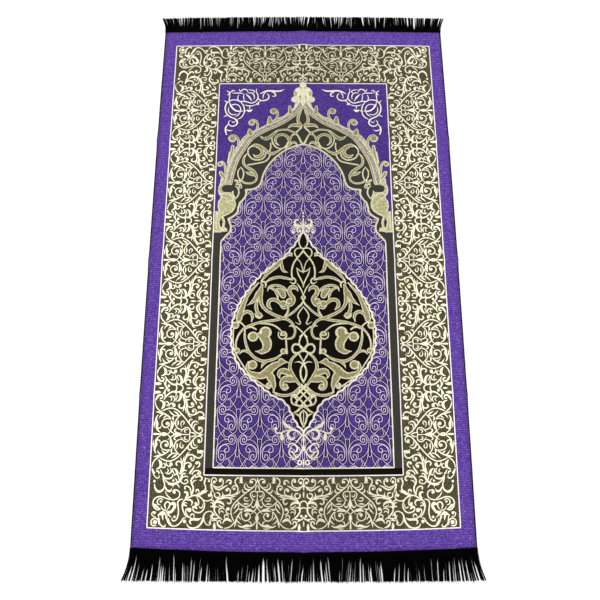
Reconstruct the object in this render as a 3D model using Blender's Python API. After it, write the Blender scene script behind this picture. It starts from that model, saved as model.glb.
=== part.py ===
"""A flat prayer rug: one woven cloth with its packing creases, an overcast edge down each long side, and a
fringe sewn to each short end. Metres, +Z up. The rug lies on the plane z = 0 with the top of its niche
towards +Y, and the origin is the middle of its outline on that plane."""

import math
import random

import bmesh
import bpy

# Cloth, as cut and laid out
RUG_WIDTH = 0.700  # over both overcast edges
RUG_LENGTH = 1.200  # corner to corner, without the fringes
CLOTH_THICKNESS = 0.0020
SIDE_BOW = 0.003  # how far each long side swells past its corners, halfway along
FAR_BOW = 0.004  # how far the far hem swells past its corners, in the middle
NEAR_BOW = 0.009
SEAM_GAP = 0.0003  # between pieces that are sewn to each other

# Overcast edges: black thread wound over the cut edge
OVERCAST_WIDTH = 0.0030
OVERCAST_THICKNESS = 0.0026
OVERCAST_BEVEL = 0.0010
OVERCAST_STEP = 0.060  # between its cross-sections, away from the creases

# Fringes: a woven heading with locks of black yarn
LOCKS = 130  # in each fringe
HEADING_DEPTH = 0.009
HEADING_THICKNESS = 0.0022
ROOT_SHARE = 0.80  # of the pitch of the locks
TIP_SHARE = 0.42
ROOT_THICKNESS = 0.0018
TIP_THICKNESS = 0.0009
LOCK_JOINTS = (0.5, 1.0)  # where a lock bends and ends, as shares of its length
LENGTH_VARIES = 0.005  # how much shorter the shortest lock is
SWAY = 0.0045  # sideways wander of the tips
SWAYS = 7  # waves of that wander across the rug
LEAN_CURVE = 1.5  # above 1, so that a lock leaves the heading straight
SPLAY_POWER = 11  # high, so that only the locks at the corners splay
FACES_OUT = 0.7  # how far a normal points off the rug on the heading's outer faces
FRINGE_SEED = 4
FRINGES = (  # name, which end of the rug, reach past the hem, splay of the corner lock
    {"name": "fringe_far", "end": 1, "reach": 0.047, "splay": 0.012},
    {"name": "fringe_near", "end": -1, "reach": 0.054, "splay": 0.016},
)

# Packing creases: the rug was folded in half lengthways and then in four across. Each stands up as a ridge.
LENGTHWAYS_CREASE = {"height": 0.0035, "half_width": 0.028, "left_at_middle": 0.30}
CROSS_CREASES = (  # distance from the cloth's middle, height of the crest, half width
    {"at": 0.300, "height": 0.0028, "half_width": 0.030},
    {"at": 0.000, "height": 0.0024, "half_width": 0.032},
    {"at": -0.300, "height": 0.0018, "half_width": 0.030},
)
CREASE_CUTS = (0.0, 0.12, 0.35, 0.65, 1.0)  # rows across a crease, as shares of its half width
PLAIN_STEP_X = 0.058  # between the cloth's other rows of points
PLAIN_STEP_Y = 0.100
CLEAR_OF_CREASE = 1.15  # plain rows keep this many half widths from a crest
CUT_SNAPS = 1e-7  # a cut uses a point that lies this near to it

CLOTH_WIDTH = RUG_WIDTH - 2 * (OVERCAST_WIDTH + SEAM_GAP)
# The middle of the cloth, which puts the origin midway between the two rows of fringe tips
CLOTH_MIDDLE_Y = (NEAR_BOW + FRINGES[1]["reach"] - FAR_BOW - FRINGES[0]["reach"]) / 2

COLOURS = {  # base colour, roughness
    "purple_weave": ((0.105, 0.030, 0.330, 1.0), 0.75),
    "black_thread": ((0.012, 0.011, 0.014, 1.0), 0.60),
}


def clear_scene():
    for thing in list(bpy.data.objects):
        bpy.data.objects.remove(thing)


def material(name):
    """The named finish, made once."""
    if name in bpy.data.materials:
        return bpy.data.materials[name]
    colour, roughness = COLOURS[name]
    made = bpy.data.materials.new(name)
    made.use_nodes = True
    shader = made.node_tree.nodes["Principled BSDF"]
    shader.inputs["Base Color"].default_value = colour
    shader.inputs["Roughness"].default_value = roughness
    return made


def ridge(distance, height, half_width):
    """Height of a crease at this distance from its crest: a cusp that flares out on both sides."""
    return height * max(0.0, 1.0 - abs(distance) / half_width) ** 2


def lift(x, y):
    """How far the creases hold the cloth off the floor at a point of the flat cloth."""
    y = max(-RUG_LENGTH / 2, min(RUG_LENGTH / 2, y))
    towards_end = (2 * y / RUG_LENGTH) ** 2
    stays = LENGTHWAYS_CREASE["left_at_middle"]
    height = LENGTHWAYS_CREASE["height"] * (stays + (1 - stays) * towards_end)
    lengthways = ridge(x, height, LENGTHWAYS_CREASE["half_width"])
    across = sum(ridge(y - c["at"], c["height"], c["half_width"]) for c in CROSS_CREASES)
    return lengthways + across


def bowed(x, y):
    """Where a point of the flat cloth comes to lie on the floor: its outline swells a little on all sides."""
    u = 2 * x / RUG_WIDTH
    v = 2 * y / RUG_LENGTH
    end_bow = FAR_BOW if v > 0 else -NEAR_BOW
    along = min(1.0, v * v)
    return x + u * SIDE_BOW * (1 - along), y + end_bow * along * (1 - u * u) + CLOTH_MIDDLE_Y


def lay_out(made):
    """Takes the flat pieces to the laid-out rug: outline bowed, creases up."""
    for vertex in made.verts:
        x, y, z = vertex.co
        vertex.co = (*bowed(x, y), z + lift(x, y))


def crease_rows(at, half_width):
    return [at + side * share * half_width for share in CREASE_CUTS for side in (-1, 1)]


def rows(half_length, step, creases):
    """Where the flat cloth is cut into rows: evenly, but for the creases, which have rows of their own."""
    count = round(2 * half_length / step)
    even = [half_length * (2 * i / count - 1) for i in range(1, count)]
    plain = [e for e in even if all(abs(e - at) > CLEAR_OF_CREASE * half for at, half in creases)]
    on_creases = [row for at, half in creases for row in crease_rows(at, half)]
    return sorted({round(row, 6) for row in plain + on_creases})


LENGTHWAYS = [(0.0, LENGTHWAYS_CREASE["half_width"])]
ACROSS = [(crease["at"], crease["half_width"]) for crease in CROSS_CREASES]


def box(width, length, thickness, middle_x=0.0, middle_y=0.0):
    """A bmesh box that stands on z = 0."""
    made = bmesh.new()
    bmesh.ops.create_cube(made, size=1.0)
    bmesh.ops.scale(made, vec=(width, length, thickness), verts=made.verts)
    bmesh.ops.translate(made, vec=(middle_x, middle_y, thickness / 2), verts=made.verts)
    return made


def cut_rows(made, places, axis):
    """Cuts the box right through at each place along the axis."""
    for place in places:
        point = [0.0, 0.0, 0.0]
        normal = [0.0, 0.0, 0.0]
        point[axis] = place
        normal[axis] = 1.0
        everything = made.verts[:] + made.edges[:] + made.faces[:]
        bmesh.ops.bisect_plane(made, geom=everything, dist=CUT_SNAPS, plane_co=point, plane_no=normal)


def finish(made, name, colour):
    """Makes the bmesh an object with its faces pointing out."""
    bmesh.ops.recalc_face_normals(made, faces=made.faces)
    mesh = bpy.data.meshes.new(name)
    made.to_mesh(mesh)
    made.free()
    mesh.materials.append(material(colour))
    node = bpy.data.objects.new(name, mesh)
    bpy.context.scene.collection.objects.link(node)


def rug_cloth():
    """The woven cloth, one solid sheet. Its hems are part of it."""
    made = box(CLOTH_WIDTH, RUG_LENGTH, CLOTH_THICKNESS)
    cut_rows(made, rows(CLOTH_WIDTH / 2, PLAIN_STEP_X, LENGTHWAYS), axis=0)
    cut_rows(made, rows(RUG_LENGTH / 2, PLAIN_STEP_Y, ACROSS), axis=1)
    lay_out(made)
    finish(made, "rug_cloth", "purple_weave")


def overcast_edge(name, side):
    """The wound thread down one long side, with its outer top corner taken off."""
    middle = side * (RUG_WIDTH - OVERCAST_WIDTH) / 2
    made = box(OVERCAST_WIDTH, RUG_LENGTH, OVERCAST_THICKNESS, middle_x=middle)
    outer = [e for e in made.edges if all(v.co.x * side > abs(middle) and v.co.z > 0 for v in e.verts)]
    bmesh.ops.bevel(
        made,
        geom=outer,
        offset=OVERCAST_BEVEL,
        segments=1,
        affect="EDGES",
        profile=0.5,
        material=-1,
    )
    cut_rows(made, rows(RUG_LENGTH / 2, OVERCAST_STEP, ACROSS), axis=1)
    lay_out(made)
    finish(made, name, "black_thread")


def lock_roots():
    """(left, right) of each lock's root across the rug."""
    pitch = RUG_WIDTH / LOCKS
    half = ROOT_SHARE * pitch / 2
    middles = [(i + 0.5) * pitch - RUG_WIDTH / 2 for i in range(LOCKS)]
    return [(middle - half, middle + half) for middle in middles]


def heading(end):
    """The fringe's heading, sewn against the hem, cut where each lock starts and stops."""
    middle = end * (RUG_LENGTH / 2 + SEAM_GAP + HEADING_DEPTH / 2)
    made = box(RUG_WIDTH, HEADING_DEPTH, HEADING_THICKNESS, middle_y=middle)
    cut_rows(made, [edge for root in lock_roots() for edge in root], axis=0)
    lay_out(made)
    return made


def set_section(face, middle, width, thickness, floor):
    """Gives a lock's end face its cross-section: this wide and thick, standing this high."""
    low = sorted(face.verts, key=lambda vertex: vertex.co.z)[:2]
    left = sorted(face.verts, key=lambda vertex: vertex.co.x)[:2]
    for vertex in face.verts:
        vertex.co.x = middle.x + (-width / 2 if vertex in left else width / 2)
        vertex.co.y = middle.y
        vertex.co.z = floor + (0.0 if vertex in low else thickness)


def grow_lock(made, root, end, length, lean):
    """Draws one lock out of the heading's outer face: it thins, leans and comes down to the floor."""
    pitch = RUG_WIDTH / LOCKS
    base = root.calc_center_median()
    lifted = min(vertex.co.z for vertex in root.verts)
    tip = root
    for share in LOCK_JOINTS:
        tip = bmesh.ops.extrude_discrete_faces(made, faces=[tip])["faces"][0]
        middle = base.copy()
        middle.x += lean * share**LEAN_CURVE
        middle.y += end * length * share
        width = pitch * (ROOT_SHARE + (TIP_SHARE - ROOT_SHARE) * share)
        thickness = ROOT_THICKNESS + (TIP_THICKNESS - ROOT_THICKNESS) * share
        set_section(tip, middle, width, thickness, floor=lifted * (1 - share) ** 2)


def fringe(name, end, reach, splay):
    """One fringe: a heading, and the locks drawn out of its outer face."""
    made = heading(end)
    chance = random.Random(FRINGE_SEED + end)
    outer_faces = [face for face in made.faces if face.normal.y * end > FACES_OUT]
    from_left = sorted(outer_faces, key=lambda face: face.calc_center_median().x)
    for root in from_left[1::2]:  # every other face, as a gap comes before the first lock
        u = 2 * root.calc_center_median().x / RUG_WIDTH
        wander = SWAY * math.sin(math.pi * SWAYS * u + end)
        lean = splay * u**SPLAY_POWER + wander * (1 - u * u)
        length = reach - HEADING_DEPTH - SEAM_GAP - chance.random() * LENGTH_VARIES
        grow_lock(made, root, end, length, lean)
    finish(made, name, "black_thread")


clear_scene()
rug_cloth()
overcast_edge("overcast_left", side=-1)
overcast_edge("overcast_right", side=1)
for row in FRINGES:
    fringe(**row)
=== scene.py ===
# %% [markdown]
# # A prayer rug in cells
# The real rug is one thin jacquard cloth. A loom with a few colours of yarn lifts each colour to the face
# where the pattern needs it, so every line of the ornament is a run of floating threads that stands a
# little proud of the ground. That is why nothing here is painted: the lines are drawn as strokes, each
# stroke becomes a thin raised body, and all of them are laid over the same creases as the cloth.

import math
import random

import bmesh
import bpy
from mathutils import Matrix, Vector, geometry, noise


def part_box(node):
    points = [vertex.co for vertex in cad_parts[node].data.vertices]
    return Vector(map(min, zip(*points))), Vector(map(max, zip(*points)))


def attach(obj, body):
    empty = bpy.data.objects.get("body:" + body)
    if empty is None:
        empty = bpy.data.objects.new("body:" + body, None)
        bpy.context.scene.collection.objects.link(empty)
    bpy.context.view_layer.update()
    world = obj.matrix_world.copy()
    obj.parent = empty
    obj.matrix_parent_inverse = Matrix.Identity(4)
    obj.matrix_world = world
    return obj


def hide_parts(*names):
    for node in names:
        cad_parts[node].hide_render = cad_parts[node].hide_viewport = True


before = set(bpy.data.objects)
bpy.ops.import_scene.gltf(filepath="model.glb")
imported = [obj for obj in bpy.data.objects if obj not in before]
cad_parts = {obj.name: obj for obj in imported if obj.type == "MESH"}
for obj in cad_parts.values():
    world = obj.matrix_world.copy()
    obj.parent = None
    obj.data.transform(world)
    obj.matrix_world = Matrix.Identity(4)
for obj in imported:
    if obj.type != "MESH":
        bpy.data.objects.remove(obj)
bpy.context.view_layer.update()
MM = 0.001
print("CAD nodes:", sorted(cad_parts))

# %% [markdown]
# ## The rug's own shape
# The model of the solids lays a flat cloth out in two steps: its outline bows outwards a little, and its
# packing creases lift it off the floor. Everything made below is drawn flat, in millimetres from the
# cloth's middle, and then goes through the same two steps, so that it lands where the solids are. The crest
# of a crease is rounded here over a few millimetres, because thread can't make a knife edge.

# %% Sizes of the laid-out rug
cloth_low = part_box("rug_cloth")[0]
RUG_WIDTH, RUG_LENGTH = 700.0, 1200.0  # over the wound edges, without the fringes
CLOTH_THICKNESS = 2.0
SIDE_BOW, FAR_BOW, NEAR_BOW = 3.0, 4.0, 9.0  # how far the middle of each edge bows outwards
SEAM_GAP = 0.3  # between pieces that are sewn to each other
OVERCAST_WIDTH, OVERCAST_THICKNESS = 3.0, 2.6  # the wound long edges
HEADING_DEPTH, HEADING_THICKNESS = 9.0, 2.2  # the woven tape that a fringe hangs from
CLOTH_WIDTH = RUG_WIDTH - 2 * (OVERCAST_WIDTH + SEAM_GAP)
CLOTH_MIDDLE_Y = (cloth_low.y + NEAR_BOW * MM + RUG_LENGTH * MM / 2) / MM
LENGTHWAYS = {"height": 3.5, "half_width": 28.0, "left_at_middle": 0.30}
CROSSWAYS = (
    {"at": 300.0, "height": 2.8, "half_width": 30.0},
    {"at": 0.0, "height": 2.4, "half_width": 32.0},
    {"at": -300.0, "height": 1.8, "half_width": 30.0},
)
CREST_RADIUS = 1.4
RIPPLE = {"height": 0.35, "length": 95.0}  # faint waves all over the cloth
print("middle of the cloth at y =", round(CLOTH_MIDDLE_Y, 2), "mm")


# %% Creases and outline
def ridge(distance, height, half_width):
    """Height in mm of a crease at this distance from its crest."""
    blunted = math.hypot(distance, CREST_RADIUS) - CREST_RADIUS
    return height * max(0.0, 1.0 - blunted / half_width) ** 2


def lift(x, y):
    """How far the cloth is off the floor, from its creases and a faint ripple."""
    y = max(-RUG_LENGTH / 2, min(RUG_LENGTH / 2, y))
    towards_end = (2 * y / RUG_LENGTH) ** 2
    stays = LENGTHWAYS["left_at_middle"]
    height = LENGTHWAYS["height"] * (stays + (1 - stays) * towards_end)
    creases = ridge(x, height, LENGTHWAYS["half_width"])
    creases += sum(ridge(y - c["at"], c["height"], c["half_width"]) for c in CROSSWAYS)
    wave = noise.noise(Vector((x, y, 0)) / RIPPLE["length"])
    return creases + RIPPLE["height"] * (0.5 + wave)


def laid(x, y, z):
    """Takes a point of the flat cloth, in mm, to its place in the room, in metres."""
    u, v = 2 * x / RUG_WIDTH, 2 * y / RUG_LENGTH
    along = min(1.0, v * v)
    end_bow = FAR_BOW if v > 0 else -NEAR_BOW
    room_x = x + u * SIDE_BOW * (1 - along)
    room_y = y + end_bow * along * (1 - u * u) + CLOTH_MIDDLE_Y
    return Vector((room_x, room_y, z + lift(x, y))) * MM


print("crest at the far end:", round(lift(0, RUG_LENGTH / 2), 2), "mm above the floor")


# %% [markdown]
# ## Colours and finishes
# Colours are noted as sRGB hex values, as a colour picker shows them, and turned to linear light once. One
# helper adds a node together with its settings and its links, which keeps each material short enough to
# read.

# %% Node helper
def linear(hex_colour):
    """Linear RGBA of an sRGB hex colour."""
    channels = [int(hex_colour[i:i + 2], 16) / 255 for i in (1, 3, 5)]
    return (*[c / 12.92 if c <= 0.04045 else ((c + 0.055) / 1.055) ** 2.4 for c in channels], 1.0)


def add(tree, kind, values=None, links=None, **settings):
    """A node with its settings, its socket values and what feeds its sockets."""
    node = tree.nodes.new(kind)
    for name, value in settings.items():
        setattr(node, name, value)
    for name, value in (values or {}).items():
        node.inputs[name].default_value = value
    for name, output in (links or {}).items():
        tree.links.new(output, node.inputs[name])
    return node


def ramp(tree, factor, stops):
    """A colour ramp with (place, hex colour) stops."""
    node = add(tree, "ShaderNodeValToRGB", links={"Fac": factor})
    elements = node.color_ramp.elements
    while len(elements) < len(stops):
        elements.new(0.5)
    for element, (place, colour) in zip(elements, stops):
        element.position = place
        element.color = linear(colour)
    return node


print("middle grey in linear light:", round(linear("#808080")[0], 3))

# %% One woven finish
WAVE_OF_ONE_MM = 2 * math.pi / (20 * MM)  # a Wave Texture's scale for bands 1 mm apart
THREAD_BUMP = 0.4  # mm that one thread stands above the next
RIB_PITCH = 4.6  # mm. The real ribs are some 1.5 mm apart, which is finer than a pixel of this picture
RIB_DEPTH = 0.42  # how much darker the colour is between two ribs


def woven(name, stops, thread, speckle, roughness, specular=0.5, metallic=0.0, streak=1.0, ribs=None):
    """A woven finish. Threads run both ways at a pitch of `thread` mm, and the colour varies in speckles
    of `speckle` mm, as it does where a filament yarn catches the light in some places and not in others.
    A streak above 1 draws the speckles out along the weft, from side to side of the rug. Ribs across the
    X or the Y axis are darker lines between neighbouring threads. The real threads are 0.5 to 0.7 mm
    apart. They are drawn 1.0 to 1.6 mm apart, or nothing of them would show on a whole rug."""
    made = bpy.data.materials.new(name)
    made.use_nodes = True
    tree = made.node_tree
    place = add(tree, "ShaderNodeTexCoord").outputs["Object"]
    drawn_out = add(tree, "ShaderNodeMapping", {"Scale": (1 / streak, 1, 1)}, {"Vector": place})
    grain = add(tree, "ShaderNodeTexNoise", {"Scale": 1 / MM / speckle, "Detail": 2.0, "Roughness": 0.6},
                {"Vector": drawn_out.outputs["Vector"]})
    colour = ramp(tree, grain.outputs["Fac"], stops).outputs["Color"]
    if ribs:
        lines = {"Scale": WAVE_OF_ONE_MM / RIB_PITCH, "Distortion": 1.2, "Detail": 2.0, "Detail Scale": 3.0}
        wave = add(tree, "ShaderNodeTexWave", lines, {"Vector": place}, bands_direction=ribs)
        depth = add(tree, "ShaderNodeMapRange", {"To Min": 1 - RIB_DEPTH, "To Max": 1.0},
                    {"Value": wave.outputs["Fac"]})
        colour = add(tree, "ShaderNodeVectorMath", {}, {0: colour, "Scale": depth.outputs["Result"]},
                     operation="SCALE").outputs["Vector"]
    threads = {"Scale": WAVE_OF_ONE_MM / thread, "Distortion": 0.6, "Detail": 1.0}
    across = add(tree, "ShaderNodeTexWave", threads, {"Vector": place}, bands_direction="X")
    along = add(tree, "ShaderNodeTexWave", threads, {"Vector": place}, bands_direction="Y")
    both = add(tree, "ShaderNodeMath", {}, {0: across.outputs["Fac"], 1: along.outputs["Fac"]},
               operation="MULTIPLY")
    bump = add(tree, "ShaderNodeBump", {"Strength": 0.25, "Distance": THREAD_BUMP * MM},
               {"Height": both.outputs["Value"]})
    shader = tree.nodes["Principled BSDF"]
    tree.links.new(colour, shader.inputs["Base Color"])
    tree.links.new(bump.outputs["Normal"], shader.inputs["Normal"])
    shader.inputs["Roughness"].default_value = roughness
    shader.inputs["Metallic"].default_value = metallic
    shader.inputs["Specular IOR Level"].default_value = specular
    return made


print("ribs drawn", RIB_PITCH, "mm apart")

# %% Finishes of the grounds
# Textured polyester, dyed purple. It is matt and a little hairy, so it takes light evenly and only the odd
# filament sparkles. The weft lies from side to side and gives it fine ribs.
purple_yarn = woven("purple polyester weave",
    [(0.36, "#42257c"), (0.50, "#5d3ba4"), (0.62, "#7a56bf"), (0.74, "#b094da")],
    thread=1.6, speckle=1.3, roughness=0.8, specular=0.25, streak=3.0, ribs="Y")
# The same weave in a deeper purple, for the ground under the field's lattice.
field_yarn = woven("deep purple polyester weave", [(0.34, "#2c1957"), (0.52, "#41297c"), (0.70, "#5c40a0")],
    thread=1.6, speckle=1.6, roughness=0.8, specular=0.25, streak=3.0)
# Dark yarn that the loom brings up beside each line of the lattice: nearly black, and the eye reads an
# outline.
shadow_yarn = woven("blackish purple polyester weave", [(0.34, "#0f0819"), (0.66, "#1f122f")],
    thread=1.6, speckle=3.0, roughness=0.8, specular=0.2)
# Cotton warp that shows between the pale wefts of the border. It is smoother than the purple, greys towards
# the light, and has ribs along the rug.
olive_yarn = woven("olive cotton ground", [(0.32, "#272308"), (0.50, "#413b18"), (0.70, "#656036")],
    thread=1.6, speckle=3.0, roughness=0.45, specular=0.30, ribs="X")
# Black warp painted charcoal, lighter than the black ground: painted sheen from the side lamps, plus real
# gloss.
black_yarn_with_painted_sheen = woven("black cotton ground with painted sheen", [(0.32, "#14120a"), (0.70, "#2c2a1c")],
    thread=1.6, speckle=3.0, roughness=0.5, specular=0.3)
# Black warp packed closely, which gives nothing back: the deepest dark on the face.
black_ground_yarn = woven("black cotton ground", [(0.32, "#040301"), (0.70, "#120d05")],
    thread=1.6, speckle=3.0, roughness=0.8, specular=0.07)
grounds = (purple_yarn, field_yarn, shadow_yarn, olive_yarn, black_yarn_with_painted_sheen, black_ground_yarn)
print("grounds:", [finish.name for finish in grounds])

# %% Finishes of the pattern yarns
# Flat slit film with a metal layer, lacquered cream. It mirrors a blurred piece of the room, so it is
# nearly white beside the lamps and dull straw away from them.
cream_yarn = woven("cream metallised film yarn", [(0.30, "#c3bc96"), (0.62, "#efe9d3")],
    thread=1.2, speckle=2.2, roughness=0.31, metallic=0.85)
# The same film lacquered old gold, woven looser, which makes the fillings greyer and more mottled.
gold_yarn = woven("old-gold metallised film yarn",
    [(0.30, "#686239"), (0.50, "#88825a"), (0.70, "#aea880")],
    thread=1.2, speckle=2.2, roughness=0.42, metallic=0.8)
# Gold and cream film taken in turn. The eye sees grains of both and no line between them.
brocade_yarn = woven("mottled gold and cream film yarn",
    [(0.36, "#7b7646"), (0.46, "#bfbb97"), (0.54, "#8c8859"), (0.66, "#d6d2b4")],
    thread=1.2, speckle=4.0, roughness=0.4, metallic=0.8)
# Film between the two in colour, for lines: a quiet gold with a light edge.
pale_gold_yarn = woven("pale gold film yarn", [(0.30, "#a09a72"), (0.50, "#c8c2a0"), (0.66, "#e8e3ca")],
    thread=1.2, speckle=2.6, roughness=0.38, metallic=0.85)
# Film over the purple weft, which tints it lilac, so that thin lines glimmer and stay part of the field.
lilac_yarn = woven("pale lilac film yarn", [(0.30, "#a48fc2"), (0.70, "#e8daf4")],
    thread=1.2, speckle=2.2, roughness=0.36, metallic=0.7)
# Uncoloured film, the coolest and whitest of the yarns, for the ruled lines.
silver_yarn = woven("silver-pink film yarn", [(0.30, "#cdc2c2"), (0.62, "#f4ece8")],
    thread=1.2, speckle=2.2, roughness=0.38, metallic=0.7)
# Purple and cream twisted in one yarn. From a distance it is a pinkish grey with a salt-and-pepper grain.
heather_yarn = woven("purple and cream heather yarn",
    [(0.38, "#51406a"), (0.46, "#b0a59c"), (0.54, "#5f4f78"), (0.64, "#d8d0b8")],
    thread=1.4, speckle=3.4, roughness=0.45, metallic=0.5)
# Spun acrylic, dyed black. Its fuzz swallows light, so locks part only by the gaps between them.
black_thread = woven("black acrylic thread", [(0.30, "#010101"), (0.75, "#070608")],
    thread=1.0, speckle=2.0, roughness=0.7, specular=0.03)
yarns = (cream_yarn, gold_yarn, brocade_yarn, pale_gold_yarn, lilac_yarn, silver_yarn, heather_yarn)
yarns += (black_thread,)
print("yarns:", [finish.name for finish in yarns])


# %% [markdown]
# ## Strokes
# A weaver's draughtsman draws an ornament with a pen whose line swells and thins. A stroke here is the
# same: a few points, in millimetres, and a width that changes along them. The points are joined by Bézier
# curves with handles like Blender's automatic ones, and the ends are rounded. A round bead is only a very
# short wide stroke. The points of all strokes and outlines below were read from the photograph,
# which was straightened to a plan view and enlarged under a grid of millimetres. So the ornament follows
# the lines of that one rug, and is not a free drawing in its manner.

# %% Pen
def pen(points, width, taper=(1.0,)):
    """A stroke as (x, y, width) knots. The taper's shares of the width are spread evenly along it."""
    knots = []
    for i, (x, y) in enumerate(points):
        place = i / max(1, len(points) - 1) * (len(taper) - 1)
        low = min(int(place), len(taper) - 1)
        high = min(low + 1, len(taper) - 1)
        share = taper[low] + (taper[high] - taper[low]) * (place - low)
        knots.append((x, y, width * share))
    return knots


def bead(x, y, radius):
    """A round dot, which is a very short wide stroke."""
    return pen([(x - 0.05 * radius, y), (x, y), (x + 0.05 * radius, y)], 2 * radius)


CURL_STEP = 45  # degrees from one knot of a spiral to the next


def curl(x, y, start_radius, end_radius, start_angle, turn):
    """Points of a spiral about (x, y). Angles in degrees, and a negative turn runs clockwise."""
    count = max(2, round(abs(turn) / CURL_STEP))
    points = []
    for i in range(count + 1):
        share = i / count
        radius = start_radius + (end_radius - start_radius) * share
        angle = math.radians(start_angle + turn * share)
        points.append((x + radius * math.cos(angle), y + radius * math.sin(angle)))
    return points


def bolder(strokes, share):
    """The strokes drawn with a wider pen."""
    return [[(x, y, w * share) for x, y, w in stroke] for stroke in strokes]


def mirrored(strokes):
    """The strokes with their reflections in the line x = 0."""
    return strokes + [[(-x, y, w) for x, y, w in stroke] for stroke in strokes]


def once(strokes):
    """The strokes without those that a mirror or the next repeat has drawn a second time."""
    kept = {}
    for stroke in strokes:
        places = tuple(sorted((round(x), round(y)) for x, y, w in stroke))
        kept.setdefault(places, stroke)
    return list(kept.values())


def placed(strokes, origin, along=(1, 0), across=(0, 1)):
    """The strokes moved to an origin, with their x along one direction and their y across it."""
    left, low = origin
    return [
        [(left + x * along[0] + y * across[0], low + x * along[1] + y * across[1], w) for x, y, w in stroke]
        for stroke in strokes
    ]


print("knots in a full turn of a curl:", len(curl(0, 0, 5, 5, 0, 360)))

# %% From knots to a run of points
CHORD = 2.4  # mm between the points of a finished stroke
HANDLE = 0.36  # length of a Bézier handle, as a share of the way to the next knot
CAP_ANGLES = (84, 62, 32)  # degrees round each rounded end


def smooth(knots, chord=CHORD):
    """A run of (x, y, width) vectors along Bézier curves through the knots."""
    knots = [Vector(knot) for knot in knots]
    last = len(knots) - 1
    headings = []
    for i, knot in enumerate(knots):
        before, after = knots[max(i - 1, 0)], knots[min(i + 1, last)]
        heading = (knot - before).to_2d().normalized() + (after - knot).to_2d().normalized()
        headings.append(heading.normalized().to_3d())
    run = [knots[0]]
    for i in range(last):
        start, end = knots[i], knots[i + 1]
        length = (end - start).to_2d().length
        reach = length * HANDLE
        steps = max(1, round(length / chord))
        curve = geometry.interpolate_bezier(
            start, start + headings[i] * reach, end - headings[i + 1] * reach, end, steps + 1
        )
        run += curve[1:]
    return run


def rounded(points, chord=CHORD):
    """The (x, y) points of an outline joined by a smooth line."""
    return [(p.x, p.y) for p in smooth([(x, y, 0) for x, y in points], chord)]


def capped(run):
    """The run with both ends rounded off."""
    ends = []
    for end, inner in ((run[0], run[1]), (run[-1], run[-2])):
        outwards = (end - inner).to_2d().normalized()
        cap = []
        for angle in CAP_ANGLES:
            reach = outwards * math.sin(math.radians(angle)) * end.z / 2
            cap.append(Vector((end.x + reach.x, end.y + reach.y, end.z * math.cos(math.radians(angle)))))
        ends.append(cap)
    return ends[0] + run + ends[1][::-1]


def drawn(strokes):
    """The strokes as smooth runs with rounded ends."""
    return [capped(smooth(stroke)) for stroke in strokes]


def stretches(runs, keep):
    """The parts of the runs, three points or longer, whose points are all to be kept."""
    kept = []
    for run in runs:
        part = []
        for place in run:
            if keep(place):
                part.append(place)
                continue
            if len(part) > 2:
                kept.append(part)
            part = []
        if len(part) > 2:
            kept.append(part)
    return kept


print("points of a bead:", len(drawn([bead(0, 0, 4)])[0]))


# %% [markdown]
# ## From strokes to raised thread
# Each stroke becomes one spline of a curve object, its radius half the stroke's width. The curve's bevel
# profile is a low tent, so that the finished line has a ridge along its middle which catches the light, as
# a float of yarn does. The curve is then turned into a mesh and laid over the creases.

# %% Weaving strokes
TENT_HEIGHT = 0.05  # of the half width
FLAT_ANGLE = math.radians(30)  # edges sharper than this stay sharp in the shading
SEAM = 0.0004  # mm between the corners of a cap and those of its tube, which rounding leaves
THINNEST = 0.01  # mm, the least radius of a run


def section(name, corners):
    """A closed outline for a curve's bevel, one unit in radius."""
    shape = bpy.data.curves.new(name, "CURVE")
    spline = shape.splines.new("POLY")
    spline.points.add(len(corners) - 1)
    for point, (x, y) in zip(spline.points, corners):
        point.co = (x, y, 0, 1)
    spline.use_cyclic_u = True
    made = bpy.data.objects.new(name, shape)
    bpy.context.scene.collection.objects.link(made)
    return made


def lay_mesh(mesh, base):
    """Moves a mesh drawn flat in mm to the laid-out rug, `base` mm above the top of the cloth."""
    for vertex in mesh.vertices:
        x, y, z = vertex.co
        vertex.co = laid(x, y, z + CLOTH_THICKNESS + base)
    mesh.update()


def piece(name, mesh, finishes, replaces=()):
    """Makes a mesh one of the rug's pieces."""
    made = bpy.data.objects.new(name, mesh)
    bpy.context.scene.collection.objects.link(made)
    mesh.materials.clear()
    for finish in finishes:
        mesh.materials.append(finish)
    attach(made, "root")
    if replaces:
        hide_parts(*replaces)
    triangles = sum(len(face.vertices) - 2 for face in mesh.polygons)
    print(f"{name}: {triangles} triangles")
    return made


def mesh_of(name, shape):
    """The mesh that a curve makes. The object that carried the curve is removed again."""
    holder = bpy.data.objects.new(name, shape)
    bpy.context.scene.collection.objects.link(holder)
    bpy.context.view_layer.update()
    mesh = bpy.data.meshes.new_from_object(holder.evaluated_get(bpy.context.evaluated_depsgraph_get()))
    bpy.data.objects.remove(holder)
    return mesh


def curve_mesh(name, runs, profile):
    """One mesh of runs of (x, y, z, radius), still flat and in mm. The caps come apart from their tubes, so
    they are joined before the faces are turned outwards."""
    shape = bpy.data.curves.new(name, "CURVE")
    shape.dimensions = "3D"
    shape.twist_mode = "Z_UP"
    shape.bevel_mode = "OBJECT"
    shape.bevel_object = profile
    shape.use_fill_caps = True
    for run in runs:
        spline = shape.splines.new("POLY")
        spline.points.add(len(run) - 1)
        for point, (x, y, z, radius) in zip(spline.points, run):
            point.co = (x, y, z, 1)
            point.radius = max(radius, THINNEST)
    mesh = mesh_of(name, shape)
    made = bmesh.new()
    made.from_mesh(mesh)
    bmesh.ops.remove_doubles(made, verts=made.verts, dist=SEAM)
    bmesh.ops.recalc_face_normals(made, faces=made.faces)
    made.to_mesh(mesh)
    made.free()
    return mesh


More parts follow.
